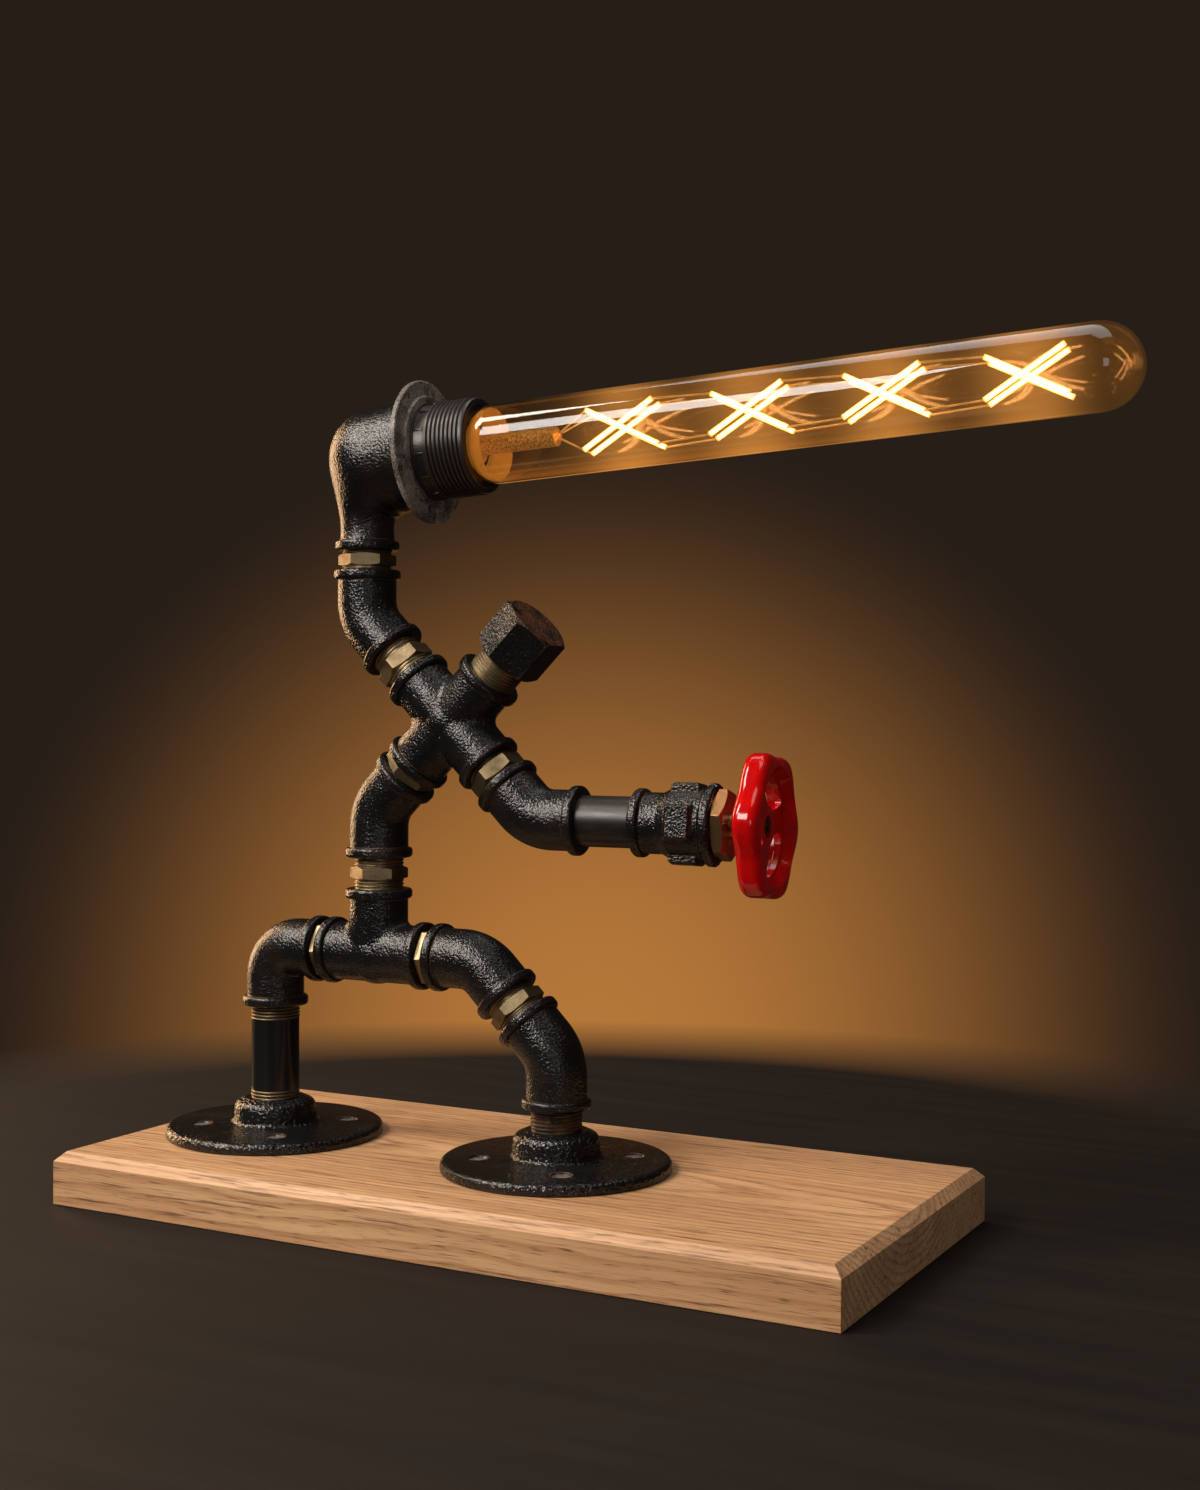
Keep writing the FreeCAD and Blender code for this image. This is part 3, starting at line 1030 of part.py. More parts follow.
PARTS = {
    "base_board": base_board(),
    "left_flange": floor_flange(left_knee.x, LEFT_FLANGE_TURN),
    "right_flange": floor_flange(right_shin.x, RIGHT_FLANGE_TURN),
    "left_flange_screws": flange_screws(left_knee.x, LEFT_FLANGE_TURN),
    "right_flange_screws": flange_screws(right_shin.x, RIGHT_FLANGE_TURN),
    "inlet_terminal": inlet_terminal(),
    "left_leg_nipple": left_leg_nipple(),
    "left_leg_elbow": elbow(left_knee, DOWN, RIGHT, ELBOW_ARM, ELBOW_BEND),
    "left_hip_nipple": hex_nipple(left_knee + RIGHT * ELBOW_ARM, RIGHT, LEFT_HIP_GAP, LEFT_HIP_HEX),
    "hip_tee": branched(hip, [(LEFT, TEE_RUN), (RIGHT, TEE_RUN), (UP, TEE_BRANCH)]),
    "right_hip_nipple": hex_nipple(hip + RIGHT * TEE_RUN, RIGHT, RIGHT_HIP_GAP, RIGHT_HIP_HEX),
    "right_thigh_elbow": elbow(right_thigh, LEFT, DOWN_RIGHT, HALF_ELBOW_ARM, HALF_ELBOW_BEND),
    "right_knee_nipple": hex_nipple(right_thigh + DOWN_RIGHT * HALF_ELBOW_ARM, DOWN_RIGHT, RIGHT_KNEE_GAP,
                                    RIGHT_KNEE_HEX),
    "right_shin_elbow": elbow(right_shin, UP_LEFT, DOWN, HALF_ELBOW_ARM, HALF_ELBOW_BEND),
    "right_ankle_nipple": close_nipple(Vector(right_shin.x, FIGURE_Y, flange_top), UP, right_ankle_gap),
    "waist_nipple": hex_nipple(hip + UP * TEE_BRANCH, UP, WAIST_GAP, WAIST_HEX),
    "waist_elbow": elbow(waist, DOWN, UP_RIGHT, HALF_ELBOW_ARM, HALF_ELBOW_BEND),
    "belly_nipple": hex_nipple(waist + UP_RIGHT * HALF_ELBOW_ARM, UP_RIGHT, BELLY_GAP, BELLY_HEX),
    "chest_cross": branched(chest, [(UP_RIGHT, CROSS_ARM), (UP_LEFT, CROSS_ARM),
                                    (DOWN_LEFT, CROSS_ARM), (DOWN_RIGHT, CROSS_ARM)]),
    "cap_nipple": close_nipple(chest + UP_RIGHT * CROSS_ARM, UP_RIGHT, CAP_GAP),
    "hex_cap": hex_cap(),
    "neck_root_nipple": hex_nipple(chest + UP_LEFT * CROSS_ARM, UP_LEFT, NECK_ROOT_GAP, NECK_ROOT_HEX),
    "neck_elbow": elbow(nape, DOWN_RIGHT, UP, HALF_ELBOW_ARM, HALF_ELBOW_BEND),
    "head_nipple": hex_nipple(nape + UP * HALF_ELBOW_ARM, UP, HEAD_GAP, HEAD_HEX),
    "head_elbow": head_elbow(),
    "lamp_socket": lamp_socket(),
    "shade_ring": shade_ring(),
    "socket_screw_shell": socket_screw_shell(),
    "socket_contact_block": socket_contact_block(),
    "socket_centre_contact": socket_centre_contact(),
    "bulb_cap": bulb_cap(),
    "bulb_cap_insulator": bulb_cap_insulator(),
    "bulb_centre_contact": bulb_centre_contact(),
    "bulb_glass": bulb_glass(),
    "bulb_stem": bulb_stem(),
    "light_rods": light_rods(),
    "filament_supports": filament_supports(),
    "shoulder_nipple": hex_nipple(chest + DOWN_RIGHT * CROSS_ARM, DOWN_RIGHT, SHOULDER_GAP, SHOULDER_HEX),
    "arm_elbow": turned_arm(elbow(upper_arm, UP_LEFT, RIGHT, HALF_ELBOW_ARM, HALF_ELBOW_BEND)),
    "forearm_pipe": turned_arm(plain_nipple(upper_arm + RIGHT * HALF_ELBOW_ARM, RIGHT, FOREARM_GAP,
                                            [(PIPE_RADIUS, FOREARM_GAP - SEAT)])),
    "arm_coupling": turned_arm(arm_coupling()),
    "hex_bushing": turned_arm(hex_bushing()),
    "rotary_switch": turned_arm(rotary_switch()),
    "switch_rotor": turned_arm(switch_rotor()),
    "switch_spindle": turned_arm(switch_spindle()),
    "hand_wheel": turned_arm(hand_wheel()),
    "wheel_washer": turned_arm(wheel_washer()),
    "wheel_screw": turned_arm(wheel_screw()),
    "lead_base": lead_base(),
    "lead_torso": lead_torso(),
    "lead_splice": lead_splice(),
    "lead_neck": lead_neck(),
    "lead_head": lead_head(),
    "lead_arm": turned_arm(lead_arm()),
}

os.makedirs("parts", exist_ok=True)
for name, shape in PARTS.items():
    if not shape.isValid():
        raise ValueError(name + " is not a valid shape")
    shape.exportStep("parts/" + name + ".step")
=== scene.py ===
"""Looks of the pipe-figure table lamp: finishes for its solids, and its threads, socket and bulb in detail.

Pieces are drawn in millimetres about the Z axis and then placed, in metres, on the frame's own axes.
"""
import json
import math

import bpy
from mathutils import Matrix, Vector


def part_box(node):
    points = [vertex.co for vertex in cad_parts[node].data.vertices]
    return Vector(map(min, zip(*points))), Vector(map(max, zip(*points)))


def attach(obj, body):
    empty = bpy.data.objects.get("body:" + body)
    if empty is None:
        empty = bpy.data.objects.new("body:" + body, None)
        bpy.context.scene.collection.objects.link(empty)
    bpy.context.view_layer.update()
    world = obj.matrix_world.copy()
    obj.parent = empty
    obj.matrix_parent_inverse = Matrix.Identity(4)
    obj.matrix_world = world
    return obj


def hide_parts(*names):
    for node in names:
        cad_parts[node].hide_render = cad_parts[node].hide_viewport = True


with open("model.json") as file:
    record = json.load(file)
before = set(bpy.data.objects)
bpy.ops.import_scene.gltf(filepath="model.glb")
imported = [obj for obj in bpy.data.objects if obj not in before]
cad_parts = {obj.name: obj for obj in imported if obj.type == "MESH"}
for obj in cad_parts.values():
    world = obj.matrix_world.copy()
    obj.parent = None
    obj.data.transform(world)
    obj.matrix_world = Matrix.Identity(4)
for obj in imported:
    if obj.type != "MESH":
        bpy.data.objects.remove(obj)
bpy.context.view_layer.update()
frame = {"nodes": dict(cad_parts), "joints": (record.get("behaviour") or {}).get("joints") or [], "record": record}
nodes = frame["nodes"]
joints = {joint["name"]: joint for joint in frame["joints"]}

MM = 0.001

unscrew = joints["bulb_unscrew"]
head = Vector(unscrew["pos_m"])
bulb_axis = Vector(unscrew["axis"]).normalized()

# --- Sizes in millimetres ------------------------------------------------------------------------

# Threads of the nipples
THREAD_ROOT = 9.75
THREAD_CREST = 10.4
THREAD_PITCH = 1.45
THREAD_BED = 0.4              # how far a thread runs into the fittings at its ends
THREAD_FLANK = 0.36           # shares of the pitch: each flank, the crest and the root
THREAD_CREST_FLAT = 0.16
THREAD_ROOT_FLAT = 0.12

# Threads that show: node, angle above +X, visible length, distance from the node's centre, slot
THREADS = [
    ("right_knee_nipple", -45, 10.3, 0, "brass"),
    ("waist_nipple", 90, 13.0, 0, "brass"),
    ("neck_root_nipple", 135, 14.2, 0, "brass"),
    ("head_nipple", 90, 8.0, 0, "brass"),
    ("shoulder_nipple", -45, 8.7, 0, "brass"),
    ("cap_nipple", 45, 9.6, 0, "brass"),
    ("right_ankle_nipple", 90, 8.4, 0, "dark_steel"),
    ("left_leg_nipple", 90, 3.5, -18.1, "brass"),
    ("left_leg_nipple", 90, 5.4, 17.2, "brass"),
]

# Lamp socket: (radius, station) pairs, with stations along the bulb's axis from the neck's axis
SOCKET_PROFILE = [
    (5.5, 6.0), (17.3, 6.0), (18.3, 7.0), (18.3, 27.35), (20.0, 27.35), (20.0, 32.3), (19.3, 32.35),
    (19.2, 32.6), (19.2, 36.6), (19.6, 37.0), (19.6, 37.6), (19.2, 37.8), (19.2, 53.1), (19.6, 53.3),
    (19.6, 53.9), (19.3, 54.6), (18.8, 54.8), (17.6, 54.8), (17.0, 54.5), (16.9, 54.0), (16.9, 48.8),
    (14.0, 48.8), (14.0, 15.0), (5.5, 15.0), (5.5, 6.0)]
SOCKET_THREAD = (37.8, 53.2)
SOCKET_THREAD_ROOT = 19.15
SOCKET_THREAD_CREST = 20.0
SOCKET_THREAD_PITCH = 1.95

# Ribs round the socket's collar
COLLAR_RIBS = 12
COLLAR_RADIUS = 19.2
COLLAR_RIB_STATION = 34.6
COLLAR_RIB_HEIGHT = 0.5
COLLAR_RIB_WIDTH = 0.9
COLLAR_RIB_LENGTH = 4.0
COLLAR_RIB_EDGE = 0.15

# Stem of the bulb: flare, neck and the gold core with its blunt tip
CORE_RADIUS = 4.0
CORE_TIP_RADIUS = 1.5
CORE_START = 56.0
CORE_END = 88.0
STEM_END = 90.0
STEM_PROFILE = [
    (0.0, 43.6), (11.0, 43.6), (11.0, 44.6), (9.2, 47.5), (7.4, 50.5), (7.2, 53.2), (5.6, 54.2),
    (4.2, 54.6), (CORE_RADIUS, CORE_START), (CORE_RADIUS, CORE_END),
    (CORE_TIP_RADIUS, CORE_END + CORE_TIP_RADIUS), (0.0, STEM_END)]

# Thick amber end of the glass, drawn inside the envelope: rim, funnel and floor, out and back
BULB_END_PROFILE = [
    (14.95, 60.6), (15.1, 60.2), (14.6, 57.4), (12.9, 54.6), (11.3, 52.6), (7.0, 51.9), (7.0, 52.9),
    (9.5, 53.4), (12.2, 54.9), (13.9, 57.6), (14.6, 60.0), (14.95, 60.6)]

# Light rods: crossings along the bulb, as in the solids that sheathe them
ROD_GROUPS = 4
ROD_FIRST = 117.0
ROD_PITCH = 53.0
ROD_HALF_LENGTH = 15.0
ROD_HALF_SPREAD = 8.3
ROD_TILT = 0.35
ROD_STAGGER = 0.3
ROD_LAYER = 4.2
ROD_CORE_RADIUS = 0.7
ROD_CORE_INSET = 0.6          # how far a core stops short of its sheath's ends
ROD_CORE_SIDES = 16

# Painted glow in the glass, in rod pitches: how far before the first crossing it starts, and how far beyond
# that crossing it stays full and ends
LIT_LEAD = 0.75
LIT_FULL = 3.2
LIT_END = 3.9
LIT_BETWEEN = 0.25            # its share halfway between two crossings
LIT_STRENGTH = 0.105

# Raised arm: its direction, the station of the cap's end face along it from the frame's origin, and
# how far below that face it starts to be rubbed and is fully rubbed
RAISED_ARM = (math.sqrt(0.5), 0, math.sqrt(0.5))
HEX_CAP_END = 179.02
RUB_START = 0.6
RUB_FULL = 0.1

# Oak: width of a growth ring, how far the rings wander, and where the tree's heart lies before and
# above the middle of the board's underside
RING_WIDTH = 3.1
RING_WANDER = 7.0
HEART_TO_FRONT = 4.0
HEART_HEIGHT = 58.0

# How finely the pieces are drawn
AXIS_RADIUS = 0.01            # a point on the axis is drawn as a ring of this radius
WELD = 0.0005
THREAD_WELD = 0.001
SMOOTH_BELOW = 35             # degrees between faces that are shaded as one surface

# --- Drawing helpers -----------------------------------------------------------------------------


def deselect():
    if bpy.context.object and bpy.context.object.mode != "OBJECT":
        bpy.ops.object.mode_set(mode="OBJECT")
    bpy.ops.object.select_all(action="DESELECT")


def join_all(pieces):
    for piece in pieces:
        piece.select_set(True)
    bpy.context.view_layer.objects.active = pieces[0]
    bpy.ops.object.join()
    return pieces[0]


def finish_piece(piece, name, at, along, body, material):
    """Closes and faces the mesh, places it by its own axis, and says what it rides on."""
    bpy.ops.object.mode_set(mode="EDIT")
    bpy.ops.mesh.select_all(action="SELECT")
    bpy.ops.mesh.remove_doubles(threshold=WELD)
    bpy.ops.mesh.normals_make_consistent(inside=False)
    bpy.ops.object.mode_set(mode="OBJECT")
    piece.name = name
    piece.location = at
    piece.rotation_euler = Vector((0, 0, 1)).rotation_difference(along).to_euler()
    piece.scale = (MM, MM, MM)
    bpy.ops.object.transform_apply(location=True, rotation=True, scale=True)
    bpy.ops.object.shade_smooth_by_angle(angle=math.radians(SMOOTH_BELOW))
    piece.data.materials.clear()
    piece.data.materials.append(material)
    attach(piece, body)
    deselect()
    return piece


def turned(profile, segments):
    """A circle drawn out ring by ring through (radius, station) points; an open profile starts flat."""
    deselect()
    radius, station = profile[0]
    closed = profile[0] == profile[-1]
    bpy.ops.mesh.primitive_circle_add(vertices=segments, radius=max(radius, AXIS_RADIUS))
    piece = bpy.context.object
    bpy.ops.object.mode_set(mode="EDIT")
    bpy.ops.mesh.select_all(action="SELECT")
    bpy.ops.transform.translate(value=(0, 0, station))
    if not closed:
        bpy.ops.mesh.edge_face_add()
    for next_radius, next_station in profile[1:]:
        bpy.ops.mesh.extrude_region_move(TRANSFORM_OT_translate={"value": (0, 0, next_station - station)})
        ratio = max(next_radius, AXIS_RADIUS) / max(radius, AXIS_RADIUS)
        bpy.ops.transform.resize(value=(ratio, ratio, 1), center_override=(0, 0, next_station))
        radius, station = next_radius, next_station
    bpy.ops.object.mode_set(mode="OBJECT")
    return piece


def thread(root, crest, pitch, low, high, segments=56):
    """One tooth swept along a helix about Z, with both ends faced off square."""
    deselect()
    bpy.ops.mesh.primitive_plane_add(size=1, location=(0, 0, 0))
    piece = bpy.context.object
    bpy.ops.object.mode_set(mode="EDIT")
    bpy.ops.mesh.select_all(action="SELECT")
    bpy.ops.mesh.merge(type="CENTER")
    bpy.ops.transform.translate(value=(root, 0, low - pitch))
    depth = crest - root
    tooth = ((depth, THREAD_FLANK), (0, THREAD_CREST_FLAT), (-depth, THREAD_FLANK), (0, THREAD_ROOT_FLAT))
    for outward, share in tooth:
        bpy.ops.mesh.extrude_vertices_move(TRANSFORM_OT_translate={"value": (outward, 0, share * pitch)})
    bpy.ops.object.mode_set(mode="OBJECT")
    screw = piece.modifiers.new("screw", "SCREW")
    screw.axis = "Z"
    screw.angle = 2 * math.pi
    screw.screw_offset = pitch
    screw.iterations = math.ceil((high - low) / pitch) + 2
    screw.steps = screw.render_steps = segments
    screw.use_merge_vertices = True
    screw.merge_threshold = THREAD_WELD
    bpy.ops.object.modifier_apply(modifier="screw")
    bpy.ops.object.mode_set(mode="EDIT")
    bpy.ops.mesh.select_all(action="SELECT")
    bpy.ops.mesh.remove_doubles(threshold=THREAD_WELD)
    for station, clear in ((low, {"clear_inner": True}), (high, {"clear_outer": True})):
        bpy.ops.mesh.select_all(action="SELECT")
        bpy.ops.mesh.bisect(plane_co=(0, 0, station), plane_no=(0, 0, 1), use_fill=True, **clear)
    bpy.ops.object.mode_set(mode="OBJECT")
    return piece


def collar_ribs():
    """Short ribs along the socket's collar, set evenly round it and half sunk into it."""
    deselect()
    ribs = []
    for number in range(COLLAR_RIBS):
        bpy.ops.mesh.primitive_cube_add(size=1.0, location=(COLLAR_RADIUS, 0, COLLAR_RIB_STATION),
                                        scale=(2 * COLLAR_RIB_HEIGHT, COLLAR_RIB_WIDTH, COLLAR_RIB_LENGTH))
        rib = bpy.context.object
        bpy.ops.object.transform_apply(location=True, rotation=True, scale=True)
        rib.rotation_euler = (0, 0, 2 * math.pi * (number + 0.5) / COLLAR_RIBS)
        bpy.ops.object.transform_apply(location=True, rotation=True, scale=True)
        ribs.append(rib)
    ring = join_all(ribs)
    bevel = ring.modifiers.new("soft_edges", "BEVEL")
    bevel.width = COLLAR_RIB_EDGE
    bevel.segments = 2
    bpy.ops.object.modifier_apply(modifier="soft_edges")
    return ring


def rod_ends(group, layer, slope):
    """Ends of one light rod about the bulb's axis: x down, y away from the front, z along the axis."""
    centre = ROD_FIRST + ROD_PITCH * group
    far_layer = layer + ROD_TILT * slope
    low = Vector((-slope * ROD_HALF_SPREAD, layer * ROD_LAYER, centre - ROD_HALF_LENGTH))
    high = Vector((slope * ROD_HALF_SPREAD, far_layer * ROD_LAYER, centre + ROD_HALF_LENGTH))
    return low, high


def rod_cores():
    """Bright cores of the light rods, a hair short of their sheaths."""
    deselect()
    cores = []
    for group in range(ROD_GROUPS):
        for layer in (-1, 1):
            for slope in (-1, 1):
                low, high = rod_ends(group, layer + ROD_STAGGER * slope, slope)
                length = (high - low).length - 2 * ROD_CORE_INSET
                bpy.ops.mesh.primitive_cylinder_add(vertices=ROD_CORE_SIDES, radius=ROD_CORE_RADIUS,
                                                    depth=length, location=(low + high) / 2)
                core = bpy.context.object
                core.rotation_euler = (high - low).to_track_quat("Z", "Y").to_euler()
                bpy.ops.object.transform_apply(location=True, rotation=True, scale=True)
                cores.append(core)
    return join_all(cores)


# --- Finishes ------------------------------------------------------------------------------------


def colour(red, green, blue):
    return (red, green, blue, 1.0)


# Colours, in linear light
PAINT_BLACK = colour(0.0045, 0.0042, 0.0042)
BROWN_DUST = colour(0.018, 0.011, 0.007)
WORN_EDGE_AND_HIGHLIGHT = colour(0.17, 0.075, 0.032)
RUBBED_FACE = colour(0.105, 0.042, 0.022)
SLEEVE_BLACK = colour(0.005, 0.005, 0.005)
PIPE_BLACK = colour(0.007, 0.006, 0.0055)
PIPE_SCUFF = colour(0.022, 0.014, 0.010)
ZINC_OLIVE = colour(0.31, 0.24, 0.14)
ZINC_STAIN = colour(0.14, 0.10, 0.055)
BRASS_CLEAN = colour(0.52, 0.32, 0.16)
BRASS_STAIN = colour(0.30, 0.175, 0.08)
STEEL_DARK = colour(0.05, 0.042, 0.036)
STEEL_RUST = colour(0.16, 0.10, 0.06)
SCREW_SILVER = colour(0.66, 0.64, 0.61)
BAKELITE_BLACK = colour(0.009, 0.008, 0.0075)
BAKELITE_EDGE_REFLECTION = colour(0.20, 0.095, 0.05)
LEATHER_DARK = colour(0.024, 0.020, 0.018)
LEATHER_GREY = colour(0.26, 0.205, 0.170)
ENAMEL_RED = colour(0.44, 0.0015, 0.002)
ENAMEL_DEEP = colour(0.35, 0.001, 0.0015)
OAK_PALE = colour(0.55, 0.325, 0.165)
OAK_BROWN = colour(0.41, 0.215, 0.100)
OAK_EARLY_WOOD = colour(0.30, 0.140, 0.058)
OAK_FIBRE = colour(0.33, 0.170, 0.080)
OAK_PORE = colour(0.085, 0.036, 0.016)
GLASS_AMBER = colour(1.0, 0.885, 0.66)
GLASS_GLOW = colour(1.0, 0.42, 0.09)
CORE_GOLD = colour(0.80, 0.42, 0.12)
CORE_SHADE = colour(0.34, 0.15, 0.035)
END_AMBER = colour(0.62, 0.27, 0.06)
END_BROWN = colour(0.38, 0.14, 0.03)
END_GLOW = colour(1.0, 0.40, 0.06)
SHEATH_ORANGE = colour(1.0, 0.55, 0.15)
SHEATH_DEEP = colour(0.9, 0.4, 0.08)
SHEATH_GLOW = colour(1.0, 0.45, 0.09)
ROD_WHITE = colour(1.0, 0.80, 0.50)
WIRE_PALE = colour(0.75, 0.5, 0.26)
WIRE_DARK = colour(0.5, 0.3, 0.13)
WIRE_GLOW = colour(1.0, 0.5, 0.15)
CERAMIC_WHITE = colour(0.8, 0.79, 0.75)
NICKEL = colour(0.62, 0.58, 0.5)
GLASS_BLACK = colour(0.02, 0.02, 0.025)
SHEATHING_BLACK = colour(0.03, 0.03, 0.033)


class Nodes:
    """A node tree, with short ways to add nodes and join them."""

    def __init__(self, tree):
        self.tree = tree

    def join(self, node, socket, value):
        if isinstance(value, bpy.types.NodeSocket):
            self.tree.links.new(value, node.inputs[socket])
        else:
            node.inputs[socket].default_value = value

    def add(self, kind, sockets=None, **settings):
        node = self.tree.nodes.new(kind)
        for setting, value in settings.items():
            setattr(node, setting, value)
        for socket, value in (sockets or {}).items():
            self.join(node, socket, value)
        return node

    def spread(self, value, low, high, to_low=0.0, to_high=1.0):
        """Stretches a value between two limits onto another span, and clamps it."""
        sockets = {"Value": value, "From Min": low, "From Max": high, "To Min": to_low, "To Max": to_high}
        return self.add("ShaderNodeMapRange", sockets).outputs["Result"]

    def mix(self, factor, first, second):
        """Mixes two colours."""
        return self.add("ShaderNodeMix", {0: factor, 6: first, 7: second}, data_type="RGBA").outputs[2]

    def combine(self, first, second, operation="MULTIPLY"):
        """Works out one number from two."""
        return self.add("ShaderNodeMath", {0: first, 1: second}, operation=operation).outputs[0]

    def dot(self, first, second):
        sockets = {0: first, 1: second}
        return self.add("ShaderNodeVectorMath", sockets, operation="DOT_PRODUCT").outputs["Value"]

    def length(self, vector):
        return self.add("ShaderNodeVectorMath", {0: vector}, operation="LENGTH").outputs["Value"]


class Finish(Nodes):
    """A Principled material whose patterns lie on Object coordinates."""

    def __init__(self, name, **sockets):
        self.material = bpy.data.materials.new(name)
        self.material.use_nodes = True
        super().__init__(self.material.node_tree)
        self.shader = self.tree.nodes["Principled BSDF"]
        self.set(**sockets)
        self.coords = self.add("ShaderNodeTexCoord").outputs["Object"]

    def set(self, **sockets):
        for socket, value in sockets.items():
            self.join(self.shader, socket.replace("_", " "), value)

    def noise(self, scale, detail=3.0, roughness=0.55, coords=None):
        place = coords or self.coords
        sockets = {"Vector": place, "Scale": scale, "Detail": detail, "Roughness": roughness}
        return self.add("ShaderNodeTexNoise", sockets).outputs["Fac"]

    def vary(self, noise, low, high):
        """Carries a noise, which mostly keeps between 0.3 and 0.7, over to two other limits."""
        return self.spread(noise, 0.3, 0.7, low, high)

    def stretched(self, scale, place=(0, 0, 0), turn=(0, 0, 0)):
        sockets = {"Vector": self.coords, "Scale": scale, "Location": place, "Rotation": turn}
        return self.add("ShaderNodeMapping", sockets).outputs["Vector"]

    def bump(self, height, distance, strength=1.0, under=None):
        sockets = {"Height": height, "Distance": distance, "Strength": strength}
        if under:
            sockets["Normal"] = under
        return self.add("ShaderNodeBump", sockets).outputs["Normal"]

    def softened(self, radius):
        """Normals as if sharp edges had a small radius."""
        return self.add("ShaderNodeBevel", {"Radius": radius}, samples=4).outputs["Normal"]

    def edges(self, radius):
        """1 on sharp edges and 0 on open faces."""
        flat = self.add("ShaderNodeNewGeometry").outputs["Normal"]
        bend = self.combine(1.0, self.dot(self.softened(radius), flat), "SUBTRACT")
        return self.spread(bend, 0.02, 0.25)


def cast_iron(name, pebble_scale, pebble_depth, roughness, face=None):
    """Black-painted malleable iron: pebbled casting skin, dusty in patches, and brown at its edges from wear and a
    painted warm highlight.

    A face, given as an axis and its station along that axis in millimetres, is rubbed as well.
    """
    finish = Finish(name, Specular_IOR_Level=0.45)
    pebbles = finish.spread(finish.noise(pebble_scale, 1.5, 0.5), 0.32, 0.68)
    lumps = finish.noise(210, 2.0, 0.45)
    patches = finish.noise(38, 3.0, 0.6)
    # Brown at the edges, in patches: partly worn paint, partly a painted warm highlight.
    edge_wear_and_highlight = finish.combine(finish.edges(1.1 * MM), finish.spread(patches, 0.40, 0.60))
    dust = finish.combine(finish.spread(patches, 0.52, 0.72), 0.5)
    base = finish.mix(dust, PAINT_BLACK, BROWN_DUST)
    base = finish.mix(edge_wear_and_highlight, base, WORN_EDGE_AND_HIGHLIGHT)
    if face:
        axis, end = face
        station = finish.dot(finish.coords, axis)
        nearness = finish.spread(station, (end - RUB_START) * MM, (end - RUB_FULL) * MM)
        brown_mask = finish.combine(nearness, finish.spread(finish.noise(160, 4.0, 0.65), 0.34, 0.62))
        base = finish.mix(brown_mask, base, RUBBED_FACE)
    skin = finish.bump(lumps, 0.7 * MM, 0.35)
    skin = finish.bump(pebbles, pebble_depth * MM, 0.9, under=skin)
    finish.set(Base_Color=base, Roughness=finish.vary(patches, *roughness), Normal=skin)
    return finish.material


def gloss_sleeve():
    """Drawn pipe of the left leg, glossy, with faint streaks along it."""
    finish = Finish("black_pipe_gloss", Base_Color=SLEEVE_BLACK, Specular_IOR_Level=0.45)
    streaks = finish.noise(1.0, 3.0, 0.6, finish.stretched((240, 240, 18)))
    finish.set(Roughness=finish.vary(streaks, 0.14, 0.28),
               Normal=finish.bump(streaks, 0.12 * MM, 0.35))
    return finish.material


def satin_pipe():
    """Duller pipe of the forearm, scuffed along its length."""
    finish = Finish("black_pipe_satin", Specular_IOR_Level=0.45)
    scuffs = finish.noise(1.0, 3.0, 0.6, finish.stretched((40, 260, 260)))
    finish.set(Base_Color=finish.mix(finish.spread(scuffs, 0.5, 0.75), PIPE_BLACK, PIPE_SCUFF),
               Roughness=finish.vary(scuffs, 0.30, 0.44),
               Normal=finish.bump(finish.noise(1500, 2.0), 0.06 * MM, 0.6))
    return finish.material


def zinc():
    """Yellow-passivated steel of the nipples: olive gold, dull, with darker stains."""
    finish = Finish("yellow_zinc", Metallic=1.0)
    stains = finish.noise(120, 4.0, 0.6)
    grit = finish.noise(1600, 2.0, 0.5)
    finish.set(Base_Color=finish.mix(finish.spread(stains, 0.35, 0.7), ZINC_OLIVE, ZINC_STAIN),
               Roughness=finish.vary(stains, 0.36, 0.55),
               Normal=finish.bump(grit, 0.1 * MM, 0.4, under=finish.softened(0.35 * MM)))
    return finish.material


def bushing_brass():
    """Warmer, brighter brass of the hex bushing and the rotary switch behind the wheel."""
    finish = Finish("bushing_brass", Metallic=1.0)
    stains = finish.noise(90, 4.0, 0.6)
    grit = finish.noise(1500, 2.0)
    finish.set(Base_Color=finish.mix(finish.spread(stains, 0.35, 0.7), BRASS_CLEAN, BRASS_STAIN),
               Roughness=finish.vary(stains, 0.26, 0.42),
               Normal=finish.bump(grit, 0.08 * MM, 0.4, under=finish.softened(0.4 * MM)))
    return finish.material


def dark_steel():
    finish = Finish("dark_steel", Metallic=0.9)
    stains = finish.noise(200, 4.0, 0.6)
    finish.set(Base_Color=finish.mix(finish.spread(stains, 0.4, 0.7), STEEL_DARK, STEEL_RUST),
               Roughness=finish.vary(stains, 0.3, 0.5))
    return finish.material


def screw_steel():
    finish = Finish("screw_steel", Metallic=1.0, Base_Color=SCREW_SILVER)
    finish.set(Roughness=finish.vary(finish.noise(700), 0.28, 0.5),
               Normal=finish.bump(finish.noise(1500), 0.08 * MM, 0.5))
    return finish.material


def bakelite():
    """Moulded black of the socket, with a painted warm reflection along its edges."""
    finish = Finish("black_bakelite")
    swirl = finish.noise(60, 3.0, 0.6)
    grain = finish.noise(1400, 2.0)
    # Painted warm reflection of the bulb's light along the edges.
    brown_mask = finish.combine(finish.edges(0.5 * MM), 0.5)
    finish.set(Base_Color=finish.mix(brown_mask, BAKELITE_BLACK, BAKELITE_EDGE_REFLECTION),
               Roughness=finish.vary(swirl, 0.30, 0.42),
               Normal=finish.bump(grain, 0.08 * MM, 0.5))
    return finish.material


